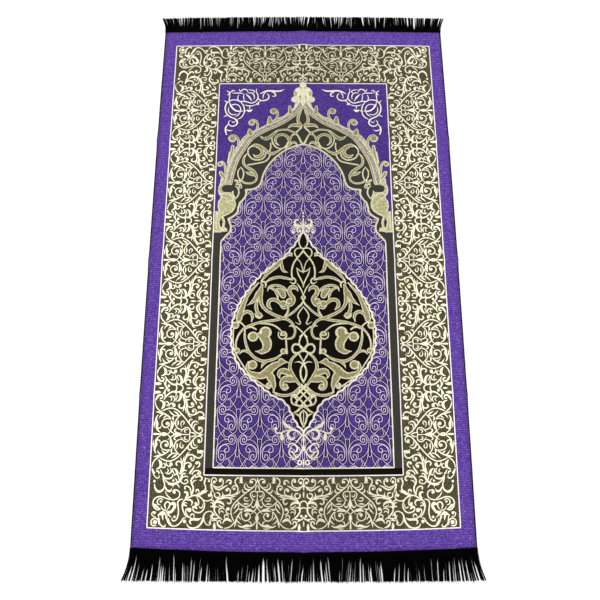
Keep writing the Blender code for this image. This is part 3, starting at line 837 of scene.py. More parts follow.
# %% The corner square, drawn from its inner corner outwards
corner_scroll = [
    # the cup in the outer corner of the side band, and the hooks that reach it
    pen([(98, 18.9), (96.9, 26.6), (89.5, 33.6), (82.2, 30.8), (78.8, 24.9), (78.4, 17.8), (81, 10.5),
        (83, -0.8)], 3.6, (0.5, 1.4, 1.9, 1.4, 1, 1, 0.9, 0.7)),
    bead(98.8, 12.9, 3.4),
    pen([(102, -1.4), (98.6, 2.8), (94.1, 6.4), (89.8, 5.2), (90.1, 1.1)], 2.8, (0.6, 1, 1, 1, 0.7)),
    pen([(82.5, -0.2), (79.3, 5.2), (73.7, 6.9), (66.9, 5.8), (63.2, 1.6), (63.2, -1.9)],
        3.6, (0.6, 1, 1.2, 1.2, 1, 0.5)),
    pen([(80.5, 5.8), (75.9, 11.8), (70.3, 15.3), (64.6, 16.5), (57.8, 15.9), (52.1, 12.9)],
        3.2, (0.6, 1, 1, 1, 1, 0.8)),
    bead(61.2, 10.5, 3.0),
    pen([(58.9, 5.8), (55, 8.8), (53.8, 13.5)], 3.2, (0.4, 1, 0.8)),
    pen([(60.1, 0.2), (58.4, -1.7), (53.8, -1.7), (51.2, 1.6), (50.4, 6.4), (47.6, 10.5)],
        3.2, (0.6, 1, 1, 1, 1, 0.8)),
    pen([(44.2, -1.7), (45.1, 2.2), (46.2, 7.5), (51, 13.5), (58.9, 17.8), (65.7, 18.9), (72, 17.8)],
        5.2, (0.9, 1.2, 1.2, 1, 0.9, 0.8, 0.4)),
    pen([(64.6, 18.9), (61.4, 20.7), (61.4, 24.2)], 3.0, (0.6, 1, 0.4)),
    pen([(55.5, 16.5), (51, 20.1), (48.5, 24.5)], 3.6, (0.5, 1, 0.4)),
    pen([(47, 10.5), (43.1, 15.3), (37.4, 16.1), (32.9, 13.5), (33.1, 9.4), (37.4, 8.2), (39.1, 11.2)],
        3.2, (0.8, 1, 1, 1, 1, 0.9, 0.5)),
    pen([(44.2, 5.2), (40.2, 1.8), (35.7, 1.1), (32, 3.8)], 3.0, (0.8, 1, 1, 0.4)),
    # the large spiral along the outer line of the side band
    pen([(77.6, 21.9), (74.8, 27.9), (70.3, 32), (65.7, 31.5), (64, 27.2)], 5.0, (0.5, 0.9, 1.2, 1, 0.4)),
    pen([(76.5, 32.6), (73.1, 39.2), (68.6, 43.9), (64, 46.7)], 3.0, (0.4, 1, 1, 0.6)),
    pen([(61.2, 33.8), (60.1, 30.5), (54.4, 29.2), (49.3, 32), (47.3, 38), (48.7, 43.3), (53.8, 47.5),
        (60.1, 49.3)], 3.4, (0.8, 1, 1, 1, 1, 1, 1, 1)),
    bead(58.1, 34.1, 4.0),
    pen([(58.9, 49.3), (68, 48.3), (75.9, 45.9), (82.7, 43.6), (90.1, 44.3), (96.1, 47.9), (99.1, 54),
        (98.6, 61.3), (95.2, 67.2), (89, 70.5), (84.4, 68.4)], 3.3, (1, 1, 1, 1, 1, 1, 1, 1, 0.7)),
    pen([(84.8, 60), (89.3, 58.4), (91.1, 53.5), (88.4, 48.7), (83.3, 47.2), (80.2, 49.9)],
        3.0, (0.6, 1, 1, 1, 1, 0.7)),
    bead(83.9, 53.2, 3.2),
    pen([(98.6, 60), (94.1, 61.3), (90.1, 65.4), (85.9, 67.5)], 7.0, (0.5, 1.1, 0.8, 0.3)),
    pen([(83.3, 62.4), (81, 67.2), (75.9, 70.5), (70.3, 69.9)], 3.0, (0.4, 1, 1, 0.6)),
    pen([(73.9, 67.2), (75.9, 61.3), (74.6, 55.9), (70.3, 53.5), (66.3, 56.3), (66.6, 62.4), (69.7, 68.1)],
        3.4, (0.6, 1.2, 1.1, 1, 1, 1.2, 0.6)),
    pen([(64.4, 58.3), (59.5, 56.3), (56.4, 58.3), (56.9, 64.8), (60.3, 69.6)], 8.0, (0.6, 1.1, 1, 1, 0.7)),
    # the long stem between the spirals, and the hook it ends in
    pen([(41.4, 47.5), (47, 48.7), (50.4, 53.5), (49.6, 62.4), (48.3, 72), (49.3, 81.5), (52.1, 88.1),
        (56.7, 90.8), (60.6, 88.9), (60.6, 85.7)], 3.6, (0.7, 1, 1, 1, 1, 1, 1, 1, 0.9, 0.6)),
    bead(55.9, 82.9, 3.4),
    pen([(72.5, 73.4), (68, 74.4), (62.3, 72.6), (58.4, 68.4)], 7.4, (0.4, 1, 1, 0.7)),
    pen([(70.3, 75.8), (66.9, 79.7), (62.1, 83.9)], 4.0, (0.8, 1, 0.3)),
    pen([(70.8, 79.1), (70.3, 87.4), (66.6, 95.8), (60.6, 100.4), (53.8, 100.8), (47, 97), (41.9, 91.1),
        (38.5, 85.3), (33.4, 83.3)], 3.4, (0.6, 1, 1.1, 1.1, 1, 1, 1, 1, 0.5)),
    pen([(67.4, 86.3), (65.7, 93.4), (61.2, 97.6)], 4.6, (0.4, 1, 0.4)),
    # the ring in the outer corner and the tulip beside it
    pen([(91.2, 101.2), (96.9, 101.8), (101.1, 97), (100.3, 91.1), (95.2, 87.2), (89.5, 88.1), (86.4, 92.8),
        (85.9, 98.8)], 3.4, (0.7, 1, 1, 1, 1, 1, 1, 0.8)),
    bead(93.5, 94.7, 5.4),
    pen([(87.3, 81.5), (85.9, 88.7), (84.4, 95.8), (80.5, 101.2), (75.9, 103), (72.8, 100.6), (73.7, 98.2)],
        3.2, (0.6, 1, 1, 1.2, 1.2, 1, 0.6)),
    pen([(88.4, 80.3), (82.7, 77.6), (78.2, 75.8), (73.7, 78.6)], 8.6, (0.3, 0.9, 1.2, 0.5)),
    pen([(79.6, 80.3), (78.8, 85.1), (78.2, 89.3)], 5.0, (1, 0.9, 0.4)),
    pen([(92.9, 83.9), (98.6, 82.7), (100.6, 77.3), (97.5, 74.4), (92.4, 75.1)], 2.8, (0.6, 1, 1, 1, 0.6)),
    bead(95.4, 77, 3.0),
    pen([(73, 81.5), (72.2, 86.6)], 3.0, (1, 0.6)),
    # stems that come in from the side band's inner half
    pen([(37.4, 26.6), (38, 22.5), (34, 21.3), (28.9, 23.6), (26.1, 29), (24.9, 35), (24.6, 38.6)],
        3.6, (1.2, 1, 1, 1, 1, 0.9, 0.7)),
    pen([(17.6, -1.7), (23.2, 4), (26.1, 9.9), (24.9, 15.9), (21.8, 21.3), (21, 27.9), (22.4, 33.8),
        (24.9, 38.6)], 4.4, (1, 1.2, 1, 0.9, 1, 1, 1, 0.7)),
    pen([(37.4, 33.2), (32.9, 34.5), (32.3, 39.8), (35.7, 45.2)], 6.0, (0.8, 1.1, 1.2, 0.7)),
    pen([(18.1, 4), (13.6, 1.1), (7.9, 0.4), (4.3, 4.6), (6.2, 8.8), (8.5, 8.8)],
        4.2, (0.5, 1, 1.1, 1.1, 1, 0.6)),
    pen([(23.2, 14.8), (20.4, 10.5), (15.3, 8.8)], 3.4, (0.8, 1, 0.4)),
    pen([(-2.3, 2.8), (-1.8, 8.8), (-0.9, 15.3), (-3.2, 21.9), (-2.8, 27.9), (1.7, 32)],
        3.6, (0.6, 1, 1, 1, 1, 0.7)),
    pen([(15.3, 31.7), (14.7, 28.1), (10.8, 28.1), (9.6, 32.8)], 4.0, (0.8, 1, 1, 0.6)),
    # the ring about the leaf, and the ring next to it
    pen([(-4.5, 32.4), (0, 33.6), (5.1, 36.8), (12.5, 38.8), (19.8, 39.2), (26.1, 42.2), (32.3, 45.9)],
        3.6, (0.8, 1, 1, 1, 1, 1, 0.9)),
    pen([(32.3, 46.3), (38.5, 50.5), (41.4, 57.7), (40.6, 66), (37.4, 74.4), (32.3, 80.9), (26.1, 82.1)],
        3.6, (0.9, 1, 1, 1, 1, 1, 0.6)),
    pen([(32.3, 55.3), (36.3, 54), (39.1, 57.7)], 3.2, (0.4, 1, 1)),
    pen([(40.2, 61.5), (37.4, 58.9), (33.1, 60.6)], 3.6, (0.6, 1, 1)),
    pen([(31.2, 65.4), (34.2, 69), (33.4, 75), (29.5, 80.1)], 3.2, (0.8, 1, 1, 0.6)),
    bead(27, 68.4, 5.6),
    pen([(32.3, 49.3), (26.1, 48.7), (21.8, 53.5), (24, 59.1)], 4.4, (0.6, 1.1, 1, 0.4)),
    pen([(18.1, 39.8), (10.2, 40.9), (4, 44.6), (-0.6, 51.1), (-2.3, 59.4), (0, 67.2), (5.1, 72.4),
        (11.9, 73.1), (18.7, 70.2), (21, 65.4)], 3.6, (0.7, 1, 1, 1, 1, 1, 1, 1, 1, 0.9)),
    pen([(20.4, 62.6), (15.9, 62), (13, 65)], 7.6, (0.6, 1.1, 0.6)),
    pen([(13, 43.3), (10.2, 49.3), (9.6, 56.5), (14.2, 59.1), (16.4, 56.3)], 3.4, (0.6, 1, 1.2, 1, 0.8)),
    bead(14.5, 55.3, 3.8),
    pen([(7.9, 61.5), (5.1, 64.2), (1.4, 61.3), (0.9, 55.9)], 3.2, (0.8, 1, 1, 0.4)),
    # the boat along the outer line of the end band
    pen([(-4.5, 73.1), (-1.8, 78), (-0.2, 85.1), (2.3, 92.3), (6.8, 98.2), (13.6, 102.5), (21, 103.4),
        (27.8, 101.2), (31.2, 95.8)], 3.8, (0.8, 1, 1.2, 1.2, 1.1, 1, 1, 1, 0.5)),
    pen([(22.7, 95.8), (25.5, 92.3), (23.8, 88.1), (18.1, 86.3), (10.2, 86.8), (3.4, 83.9)],
        5.2, (0.4, 0.8, 1, 1.3, 1.2, 0.4)),
    bead(35.7, 91.1, 4.6),
    pen([(24.9, 80.9), (23.2, 77.3), (19.8, 76.1), (17.2, 78.8), (17.9, 82.5)], 3.4, (0.6, 1, 1, 1, 0.6)),
    pen([(28.3, 82.5), (23.2, 84.5), (19.3, 86.3)], 3.0, (0.8, 1, 0.6)),
    # the hooks that join the square to the end band
    pen([(4.8, 31.4), (-1.9, 27.4), (-2.9, 20.3), (0, 14.2), (-1.9, 7.1), (-6.7, 5.1), (-11.6, 7.1)],
        2.6, (0.8, 1, 1, 1, 0.9, 0.8, 0.8)),
    bead(-9.6, 10.1, 2.9),
    pen([(13.5, 36.5), (3.9, 33.5), (-2.9, 30.4), (-7.7, 29.4)], 3.4, (0.6, 1, 1, 0.5)),
    pen([(10.6, 39.5), (4.8, 44.6), (-1, 48.7), (-7.7, 49.7), (-14.5, 46.6), (-17.3, 40.5), (-14.5, 36.5)],
        2.8, (0.6, 1, 1, 1, 1, 1, 0.8)),
    bead(-11.6, 38.5, 4.2),
    pen([(8.7, 102.4), (1.9, 93.3), (-1.9, 85.1), (-1.9, 78.1), (-6.7, 72), (-13.5, 69.9), (-19.3, 73),
        (-24.1, 79.1)], 3.0, (0.8, 1.1, 1, 0.9, 0.9, 0.9, 0.9, 0.6)),
    pen([(-1.9, 82.1), (-2.9, 89.2), (-6.7, 95.3), (-11.6, 97.3), (-16.4, 94.3)], 2.6, (0.7, 1, 1, 1, 0.7)),
    bead(-13.5, 92.2, 2.7),
    bead(-17.3, 81.1, 2.7),
    pen([(-15.4, 83.1), (-17.3, 87.2), (-22.2, 88.2), (-27, 86.2)], 2.4, (0.8, 1, 1, 0.7)),
    pen([(-13.5, 52.7), (-18.3, 53.7), (-20.2, 59.8), (-24.1, 54.7)], 4.0, (0.3, 1, 0.9, 0.4)),
    pen([(-12.5, 16.2), (-15.4, 23.3), (-19.3, 33.5)], 4.6, (0.3, 1, 0.3)),
]
print("strokes in a corner square:", len(corner_scroll))

# %% Border ground and strokes
MARGIN = 2.0  # mm between a line of the border and the strokes inside it
CORNER_SHIFT = 1.0  # mm by which the corner squares come closer to the side bands' inner line
# The end bands get a thinner pen than the sides, so more dark ground shows: painted shade, as the side lamps
# light them less.
SIDE_PEN, END_PEN, CORNER_PEN = 0.85, 0.78, 0.72  # the end bands' thinner pen is painted shade
SIDE_REPEATS, END_REPEATS = (-2, -1, 0, 1, 2), (-0.5, 0.5)  # places of the hearts' axes, in repeats
SIDE_DEPTH = BORDER_OUTER_X - BORDER_INNER_X
ends = (
    (1, PANEL_FAR_Y, BORDER_FAR_Y - PANEL_FAR_Y),
    (-1, PANEL_NEAR_Y, PANEL_NEAR_Y - BORDER_NEAR_Y),
)  # which end, its inner line, the depth of its band
outer_edge = rectangle(BORDER_OUTER_X, BORDER_NEAR_Y, BORDER_FAR_Y)
inner_edge = rectangle(BORDER_INNER_X, PANEL_NEAR_Y, PANEL_FAR_Y)
ground("border_ground", [outer_edge, inner_edge], olive_yarn, top=0.12)


def deep(depth):
    """Share by which the drawn repeat is stretched to a band this deep, leaving room for its two lines."""
    return (depth - 2 * MARGIN) / BORDER_DEPTH


def in_bands(place):
    """Whether a point is on the straight bands, off the corner squares."""
    return abs(place.x) < BORDER_INNER_X + 1 or PANEL_NEAR_Y < place.y < PANEL_FAR_Y


def band_runs(strokes, share):
    """The strokes of a band as runs, cut off where the corner squares begin."""
    return stretches(drawn(once(bolder(strokes, share))), in_bands)


side_strokes, end_strokes, corner_strokes = [], [], []
for side in (-1, 1):
    across = (side * deep(SIDE_DEPTH), 0)
    for number in SIDE_REPEATS:
        origin = (side * (BORDER_INNER_X + MARGIN), number * BORDER_REPEAT)
        side_strokes += placed(border_repeat, origin, (0, 1), across)
    for end, inner_line, depth in ends:
        origin = (side * (BORDER_INNER_X - CORNER_SHIFT), inner_line + end * MARGIN)
        corner_strokes += placed(corner_scroll, origin, across, (0, end * deep(depth)))
for end, inner_line, depth in ends:
    for number in END_REPEATS:
        origin = (number * BORDER_REPEAT, inner_line + end * MARGIN)
        end_strokes += placed(border_repeat, origin, (1, 0), (0, end * deep(depth)))
weave("border_sides", band_runs(side_strokes, SIDE_PEN), cream_yarn, base=0.16)
weave("border_ends", band_runs(end_strokes, END_PEN), cream_yarn, base=0.16)
weave("border_corners", drawn(bolder(corner_strokes, CORNER_PEN)), cream_yarn, base=0.17)

# %% Straight lines of the border and the guards
LINE, FIELD_LINE = 2.2, 2.4  # widths of the lines that edge the border and the field
BESIDE = 1.2  # mm from the middle of such a line to the guard beside it


def straight(corners, width):
    """A run along straight edges, with points close enough to follow the creases."""
    run = []
    for (ax, ay), (bx, by) in zip(corners, corners[1:]):
        steps = max(1, round(math.dist((ax, ay), (bx, by)) / CREASE_CELL))
        for i in range(steps):
            share = i / steps
            run.append(Vector((ax + (bx - ax) * share, ay + (by - ay) * share, width)))
    run.append(Vector((*corners[-1], width)))
    return run


edge_runs = [straight(edge + edge[:1], LINE) for edge in (outer_edge, inner_edge)]
weave("border_lines", edge_runs, silver_yarn, base=0.22)

guard_out, guard_in, guard_low = BORDER_INNER_X - BESIDE, FIELD_X + BESIDE, FIELD_NEAR_Y - BESIDE
# The side guards are the black guard band with painted sheen; the near guard is the same band in plain black.
for name, side in (("guard_left", -1), ("guard_right", 1)):
    outer_x, inner_x = side * guard_out, side * guard_in
    guard_side = [(outer_x, BRACKET_Y), (inner_x, BRACKET_Y), (inner_x, guard_low), (outer_x, guard_low)]
    ground(name, [guard_side], black_yarn_with_painted_sheen, top=0.18)
guard_near = rectangle(guard_out, PANEL_NEAR_Y + BESIDE, guard_low)
ground("guard_near", [guard_near], black_ground_yarn, top=0.18)
field_edge = [(-FIELD_X, FOOT_Y), (-FIELD_X, FIELD_NEAR_Y), (FIELD_X, FIELD_NEAR_Y), (FIELD_X, FOOT_Y)]
weave("field_line", [straight(field_edge, FIELD_LINE)], cream_yarn, base=0.22)

# %% [markdown]
# ## The niche
# The niche is the rug's drawing of a prayer niche in a wall. A dark spandrel fills the space between the
# opening and a banded frame, and the frame's outer edge breaks into leaves and hooked buds. The gold body
# of the frame is one ground and the spandrel is another above it. The left half of each is drawn and then
# mirrored.

# %% Grounds of the niche
frame_half = [(0, 452), (-7, 451), (-7, 441), (-15, 438), (-21, 430), (-21, 420), (-19, 400), (-23, 386),
    (-29, 377), (-39, 369), (-49, 361), (-61, 357), (-74, 349), (-89, 337), (-100, 331), (-111, 326),
    (-122, 320), (-134, 313), (-144, 302), (-152, 290), (-159, 280), (-167, 268), (-175, 252), (-179, 236),
    (-183, 222), (-186, 208), (-193, 199), (-194, 188), (-196.5, 177), (-196, 164), (-191, 152), (-196, 142),
    (-196.5, 130), (-194, 119), (-203, 118)]
rail_half = [(0, 387), (-10, 376), (-21, 365), (-34, 355), (-50, 344), (-67, 335), (-84, 327), (-101, 317),
    (-118, 304), (-131, 289), (-141, 273), (-151, 255), (-158, 238), (-163, 218), (-167, 200), (-169, 187)]
strip_half = [(-165, 166), (-160, 150), (-157.5, 138), (-159, 126), (-164, 117), (-172, 111), (-184, 105),
    (-181, 92), (-181, 80), (-174, 75), (-175, 69), (-188, 67), (-188, 46)]
frame_left = frame_half + [(-BORDER_INNER_X, BRACKET_Y), (-188, BRACKET_Y)] + opening[::-1]
ground("niche_frame", [both_sides(frame_left)], brocade_yarn, top=0.16)
spandrel_left = rounded(rail_half) + strip_half + opening[::-1]
# The spandrel's black ground, lightened by painted sheen.
ground("niche_spandrel", [both_sides(spandrel_left)], black_yarn_with_painted_sheen, top=0.24)

# %% Rails of the frame
EDGE = 3.0  # width of the pale line on the frame's outer edge, which breaks off at each bud
core_half = [(0, 398), (-10, 389), (-20, 374), (-34, 361), (-50, 349), (-70, 339), (-89, 331), (-107, 321),
    (-124, 307), (-137, 291), (-147, 276), (-158, 257), (-166, 237), (-172, 217), (-175, 200), (-176, 187)]
frame_core = pen(core_half, 6.4)
inner_rail = pen(rail_half, 6.0)
frame_rails = [
    pen([(0, 405), (-14, 397), (-25, 380), (-38, 366), (-53, 354), (-73, 345), (-92, 337), (-110, 326),
        (-128, 312)], 2.6),
    pen([(-128, 312), (-142, 295), (-152, 279), (-164, 260), (-172, 239), (-178, 218), (-181, 200),
        (-182, 187)], 2.6),
]
frame_edge = [
    pen([(-7, 451), (-7.5, 441), (-15, 438), (-21, 430), (-21, 420), (-18, 412)], EDGE),
    pen([(-17, 400), (-21, 387), (-28, 377)], EDGE),
    pen([(-36, 372), (-49, 361), (-59, 357.5)], EDGE),
    pen([(-67, 355), (-74, 349)], EDGE),
    pen([(-86, 342), (-95, 333), (-106, 329)], EDGE),
    pen([(-113, 326), (-122, 320)], EDGE),
    pen([(-135, 313), (-144, 302), (-150, 292)], EDGE),
    pen([(-156, 284), (-162, 274)], EDGE),
    pen([(-175, 268), (-177, 252), (-179, 240)], EDGE),
    pen([(-187, 205), (-192, 199), (-193, 188), (-196.5, 177), (-196, 164), (-190.5, 152), (-196, 142)],
        EDGE),
    pen([(-196, 142), (-196.5, 130), (-194, 119)], EDGE),
]
print("strokes on the frame's edge:", len(frame_edge))

# %% Buds and fins on its outer edge
frame_buds = [
    pen([(-30, 372), (-32, 382), (-32.5, 389)], 9.0, (1.3, 1, 0.7)),
    pen([(-64, 357), (-61.5, 368), (-65, 379), (-72, 382), (-79, 378)], 5.4, (1, 1, 1, 0.9, 0.6)),
    bead(-72, 376, 7.6),
    pen([(-80, 347), (-80.5, 354), (-81, 360)], 11.0, (1.3, 1, 0.6)),
    pen([(-111, 328), (-109.5, 339), (-114, 350), (-123, 353), (-130, 347)], 5.4, (1, 1, 1, 0.9, 0.6)),
    bead(-124, 345.5, 7.4),
    pen([(-126, 316), (-128, 322), (-129, 326)], 12.0, (1.3, 1, 0.6)),
    pen([(-154, 287), (-155, 298), (-161, 308), (-170, 311), (-178, 304)], 6.0, (1, 1, 1, 0.9, 0.6)),
    bead(-169, 302, 8.8),
    pen([(-168, 282), (-169, 270), (-172, 256), (-176, 242)], 8.4, (0.9, 1, 0.9, 0.5)),
    pen([(-182, 212), (-184, 226), (-186, 236), (-192, 243), (-199, 241)], 5.0, (1.2, 1, 1, 0.9, 0.6)),
    bead(-196.5, 237, 6.2),
    pen([(-194, 215), (-190, 208), (-184, 199)], 9.4, (0.9, 1, 0.8)),
]
finial = [
    bead(-11.5, 433, 6.4),
    pen([(-4, 426), (-9, 424), (-12, 418)], 9.0, (0.6, 1, 0.8)),
    bead(-20.5, 408, 8.0),
    pen([(-21, 416), (-14, 415), (-10, 408), (-12, 400)], 4.6, (0.6, 1, 1, 0.8)),
    pen([(-9, 404), (-13, 396), (-19, 386), (-29, 374)], 5.0, (0.6, 1, 0.8, 0.4)),
]
finial_middle = [
    pen([(0, 453), (0, 446), (0, 438)], 12.0, (0.4, 1, 0.5)),
    pen([(0, 440), (0, 428), (0, 414), (0, 400), (0, 390)], 11.0, (0.6, 1, 0.8, 1.2, 0.4)),
]
print("strokes in the buds and the finial:", len(frame_buds) + len(finial) + len(finial_middle))

# %% Ornament of the spandrel
spandrel_half = [
    # the lotus at the top
    pen([(-1, 384), (-8, 370), (-12, 358), (-11, 346), (-4, 337)], 7.0, (0.2, 0.8, 1, 1, 0.9)),
    pen([(-8, 337), (-19, 339), (-29, 337.5), (-38, 329.5)], 9.0, (1, 1, 0.75, 0.12)),
    # the diamond on the middle line and the stems that leave it
    pen([(-4, 332), (-12, 324), (-20, 315.5)], 4.2),
    pen([(-20, 318), (-13.5, 311), (-9, 302), (-5, 293), (0, 287)], 4.2),
    bead(-20, 316.5, 4.4),
    pen([(-19, 318), (-29, 323), (-40, 326.5), (-53, 326), (-64, 323), (-73, 316)],
        4.4, (1, 1, 1, 1, 1, 0.5)),
    pen([(-62, 322), (-70, 316), (-77, 308), (-87, 302), (-96, 303), (-104, 310)],
        9.5, (0.35, 0.8, 1, 1, 0.7, 0.12)),
    pen([(-21, 316), (-28, 308), (-32, 298), (-34, 288), (-42, 277)], 6.2, (0.6, 0.8, 1, 1, 0.5)),
    # the first rosette, nearest the middle
    pen([(-33, 294), (-36, 304), (-43, 311), (-52, 313), (-61, 309.5), (-66, 301), (-65.5, 293),
        (-61.5, 287.5), (-57.5, 285.5)], 7.0, (0.8, 1, 1, 1, 1, 0.9, 0.7, 0.5, 0.3)),
    pen([(-75, 305), (-73.5, 294), (-69, 285), (-62, 279), (-54, 276.5), (-46, 279), (-40, 285), (-37, 292)],
        3.2),
    pen([(-40, 280), (-32, 286), (-25, 292), (-18, 290.5), (-13.5, 284)], 5.4, (0.5, 1, 1, 0.9, 0.2)),
    # the leaf between the rosettes
    pen([(-123, 283), (-114, 285), (-103, 281.5), (-93, 275), (-83, 267), (-74, 264), (-64, 268),
        (-52, 275)], 9.0, (0.4, 0.9, 1, 0.9, 0.8, 0.9, 0.6, 0.25)),
    pen([(-77.5, 290), (-77.5, 278), (-81, 268)], 3.0),
    # the second rosette
    pen([(-118.5, 261), (-111, 256), (-101.5, 258.5), (-97, 267), (-101, 276), (-110, 281)],
        8.4, (0.3, 0.9, 1, 1, 0.8, 0.5)),
    pen([(-89, 266), (-91.5, 256), (-100, 249), (-111, 247.5), (-122, 251.5), (-129, 260), (-131.5, 271),
        (-127, 280), (-119, 285)], 3.4),
    pen([(-78, 262), (-82, 252), (-90, 244), (-101, 240.5), (-115, 237.5), (-130, 235)], 3.4),
    # the drop-shaped leaf below it
    pen([(-134, 263), (-139, 256), (-141.5, 246), (-140, 237), (-134, 230), (-125, 224), (-117, 217),
        (-111, 209), (-109, 201)], 6.4, (0.4, 0.7, 0.9, 1, 1, 1.2, 1.4, 1.1, 0.7)),
    pen([(-109, 204), (-111, 195), (-118, 189.5), (-128, 187.5), (-138, 189.5), (-146, 195)], 4.4),
    pen([(-136, 217), (-128, 213), (-120, 210.5), (-112, 207)], 7.5, (0.15, 1, 1, 0.6)),
    pen([(-147, 229), (-153, 219), (-153.5, 209), (-149, 198), (-145, 194)], 3.0, (0.6, 1, 1, 1, 0.6)),
    pen([(-147, 229), (-141.5, 220), (-140, 210), (-142.5, 200), (-145, 194)], 3.0, (0.6, 1, 1, 1, 0.6)),
    # the knot at the shoulder
    pen(curl(-152, 191, 4.6, 2.4, 0, 330), 2.8),
    bead(-158.5, 195, 3.0),
    pen([(-157, 186), (-151, 184), (-146, 186)], 3.0),
    pen(curl(-147.5, 179, 4.4, 2.4, 90, -330), 2.6),
    pen([(-157.5, 181), (-163, 173), (-164, 163), (-160.5, 154), (-157.5, 148)], 3.2, (0.6, 1, 1, 1, 0.5)),
    pen([(-157.5, 181), (-151.5, 173), (-150, 163), (-153, 155), (-157.5, 148)], 3.2, (0.6, 1, 1, 1, 0.5)),
]
shoulder_leaf = [
    pen([(-191, 161), (-182, 163.5), (-173, 161.5), (-166, 155), (-160.5, 146), (-158, 137), (-159, 127),
        (-164, 118.5)], 3.4),
    pen([(-164, 118.5), (-172, 112.5), (-181, 108), (-187, 104)], 3.4, (1, 1, 1, 0.6)),
    pen([(-192, 158), (-185, 152), (-178, 147), (-172, 139)], 2.4, (1, 0.8, 0.6, 0.3)),
    pen([(-185, 103), (-182, 95), (-181.5, 86), (-184, 79), (-190, 75)], 3.2),
    pen([(-194, 100), (-193.5, 88), (-190, 78), (-187, 74)], 2.6),
    pen([(-202, 69.5), (-194, 68.5), (-185, 70.5), (-175, 70)], 3.2),
    pen(curl(-179.5, 74, 4.4, 2.2, 200, 360), 3.0),
    pen([(-202, 117), (-198, 104), (-200, 90), (-199, 76)], 2.6),
]
shoulder_black = [
    pen([(-181.5, 174.5), (-173, 174.5), (-163, 174.5)], 18.0),
    pen([(-188.5, 100), (-189.5, 90), (-188, 78)], 8.4, (0.2, 1, 0.3)),
]
print("strokes in half a spandrel:", len(spandrel_half) + len(shoulder_leaf) + len(shoulder_black))

# %% Weaving the niche
RIM = 1.2  # of pale yarn that a wide stroke shows round its old gold
RIM_SHARE = 0.10  # of the stroke's width, on top of that
THINNEST_FILLING = 1.2  # width of old gold under which a stroke stays pale all over
INLAY_RISE = 0.26  # of the old gold over the pale yarn
FULLER = 1.04  # the strokes are drawn lighter than they are woven
OPENING_LINE = 4.2  # width of the line round the niche's opening


def filling(stroke):
    """The old gold inside a stroke: the same line, narrower by its two rims."""
    return [Vector((p.x, p.y, p.z * (1 - 2 * RIM_SHARE) - 2 * RIM)) for p in smooth(stroke)]


def weave_inlaid(name, strokes, finish, base):
    """Pale strokes, with old gold inside them wherever they are wide enough to leave a rim."""
    strokes = bolder(strokes, FULLER)
    weave(name, drawn(strokes), finish, base)
    fillings = stretches([filling(stroke) for stroke in strokes], lambda p: p.z > THINNEST_FILLING)
    weave(name + "_gold", [capped(run) for run in fillings], gold_yarn, base + INLAY_RISE)


weave("niche_core", [smooth(stroke) for stroke in mirrored([frame_core])], heather_yarn, base=0.20)
weave_inlaid("niche_scrolls", mirrored([inner_rail] + frame_buds + spandrel_half), pale_gold_yarn, base=0.30)
# The finial is woven in cream, not the frame's pale gold: a painted highlight for the glint of the crease on
# the middle line.
weave("niche_finial", drawn(mirrored(finial) + finial_middle), cream_yarn, base=0.30)
weave("niche_edges", drawn(mirrored(frame_rails + frame_edge + shoulder_leaf)), pale_gold_yarn, base=0.26)
weave("niche_darks", drawn(mirrored(shoulder_black)), black_yarn_with_painted_sheen, base=0.20)
opening_left = [Vector((x, y, OPENING_LINE)) for x, y in opening]
opening_line = opening_left[::-1] + [Vector((-p.x, p.y, p.z)) for p in opening_left[1:]]
weave("niche_opening", [capped(opening_line)], pale_gold_yarn, base=0.34)

# %% [markdown]
# ## The medallion
# A drop-shaped medallion fills the opening. Its edge is a pale scalloped line with black on both sides, and
# it is packed with split leaves on two crossing arcs. All of it mirrors about the middle line, where the
# arcs knot. A wide stroke is woven twice: once in pale gold, and once more inside that in old gold, which
# leaves a pale rim.

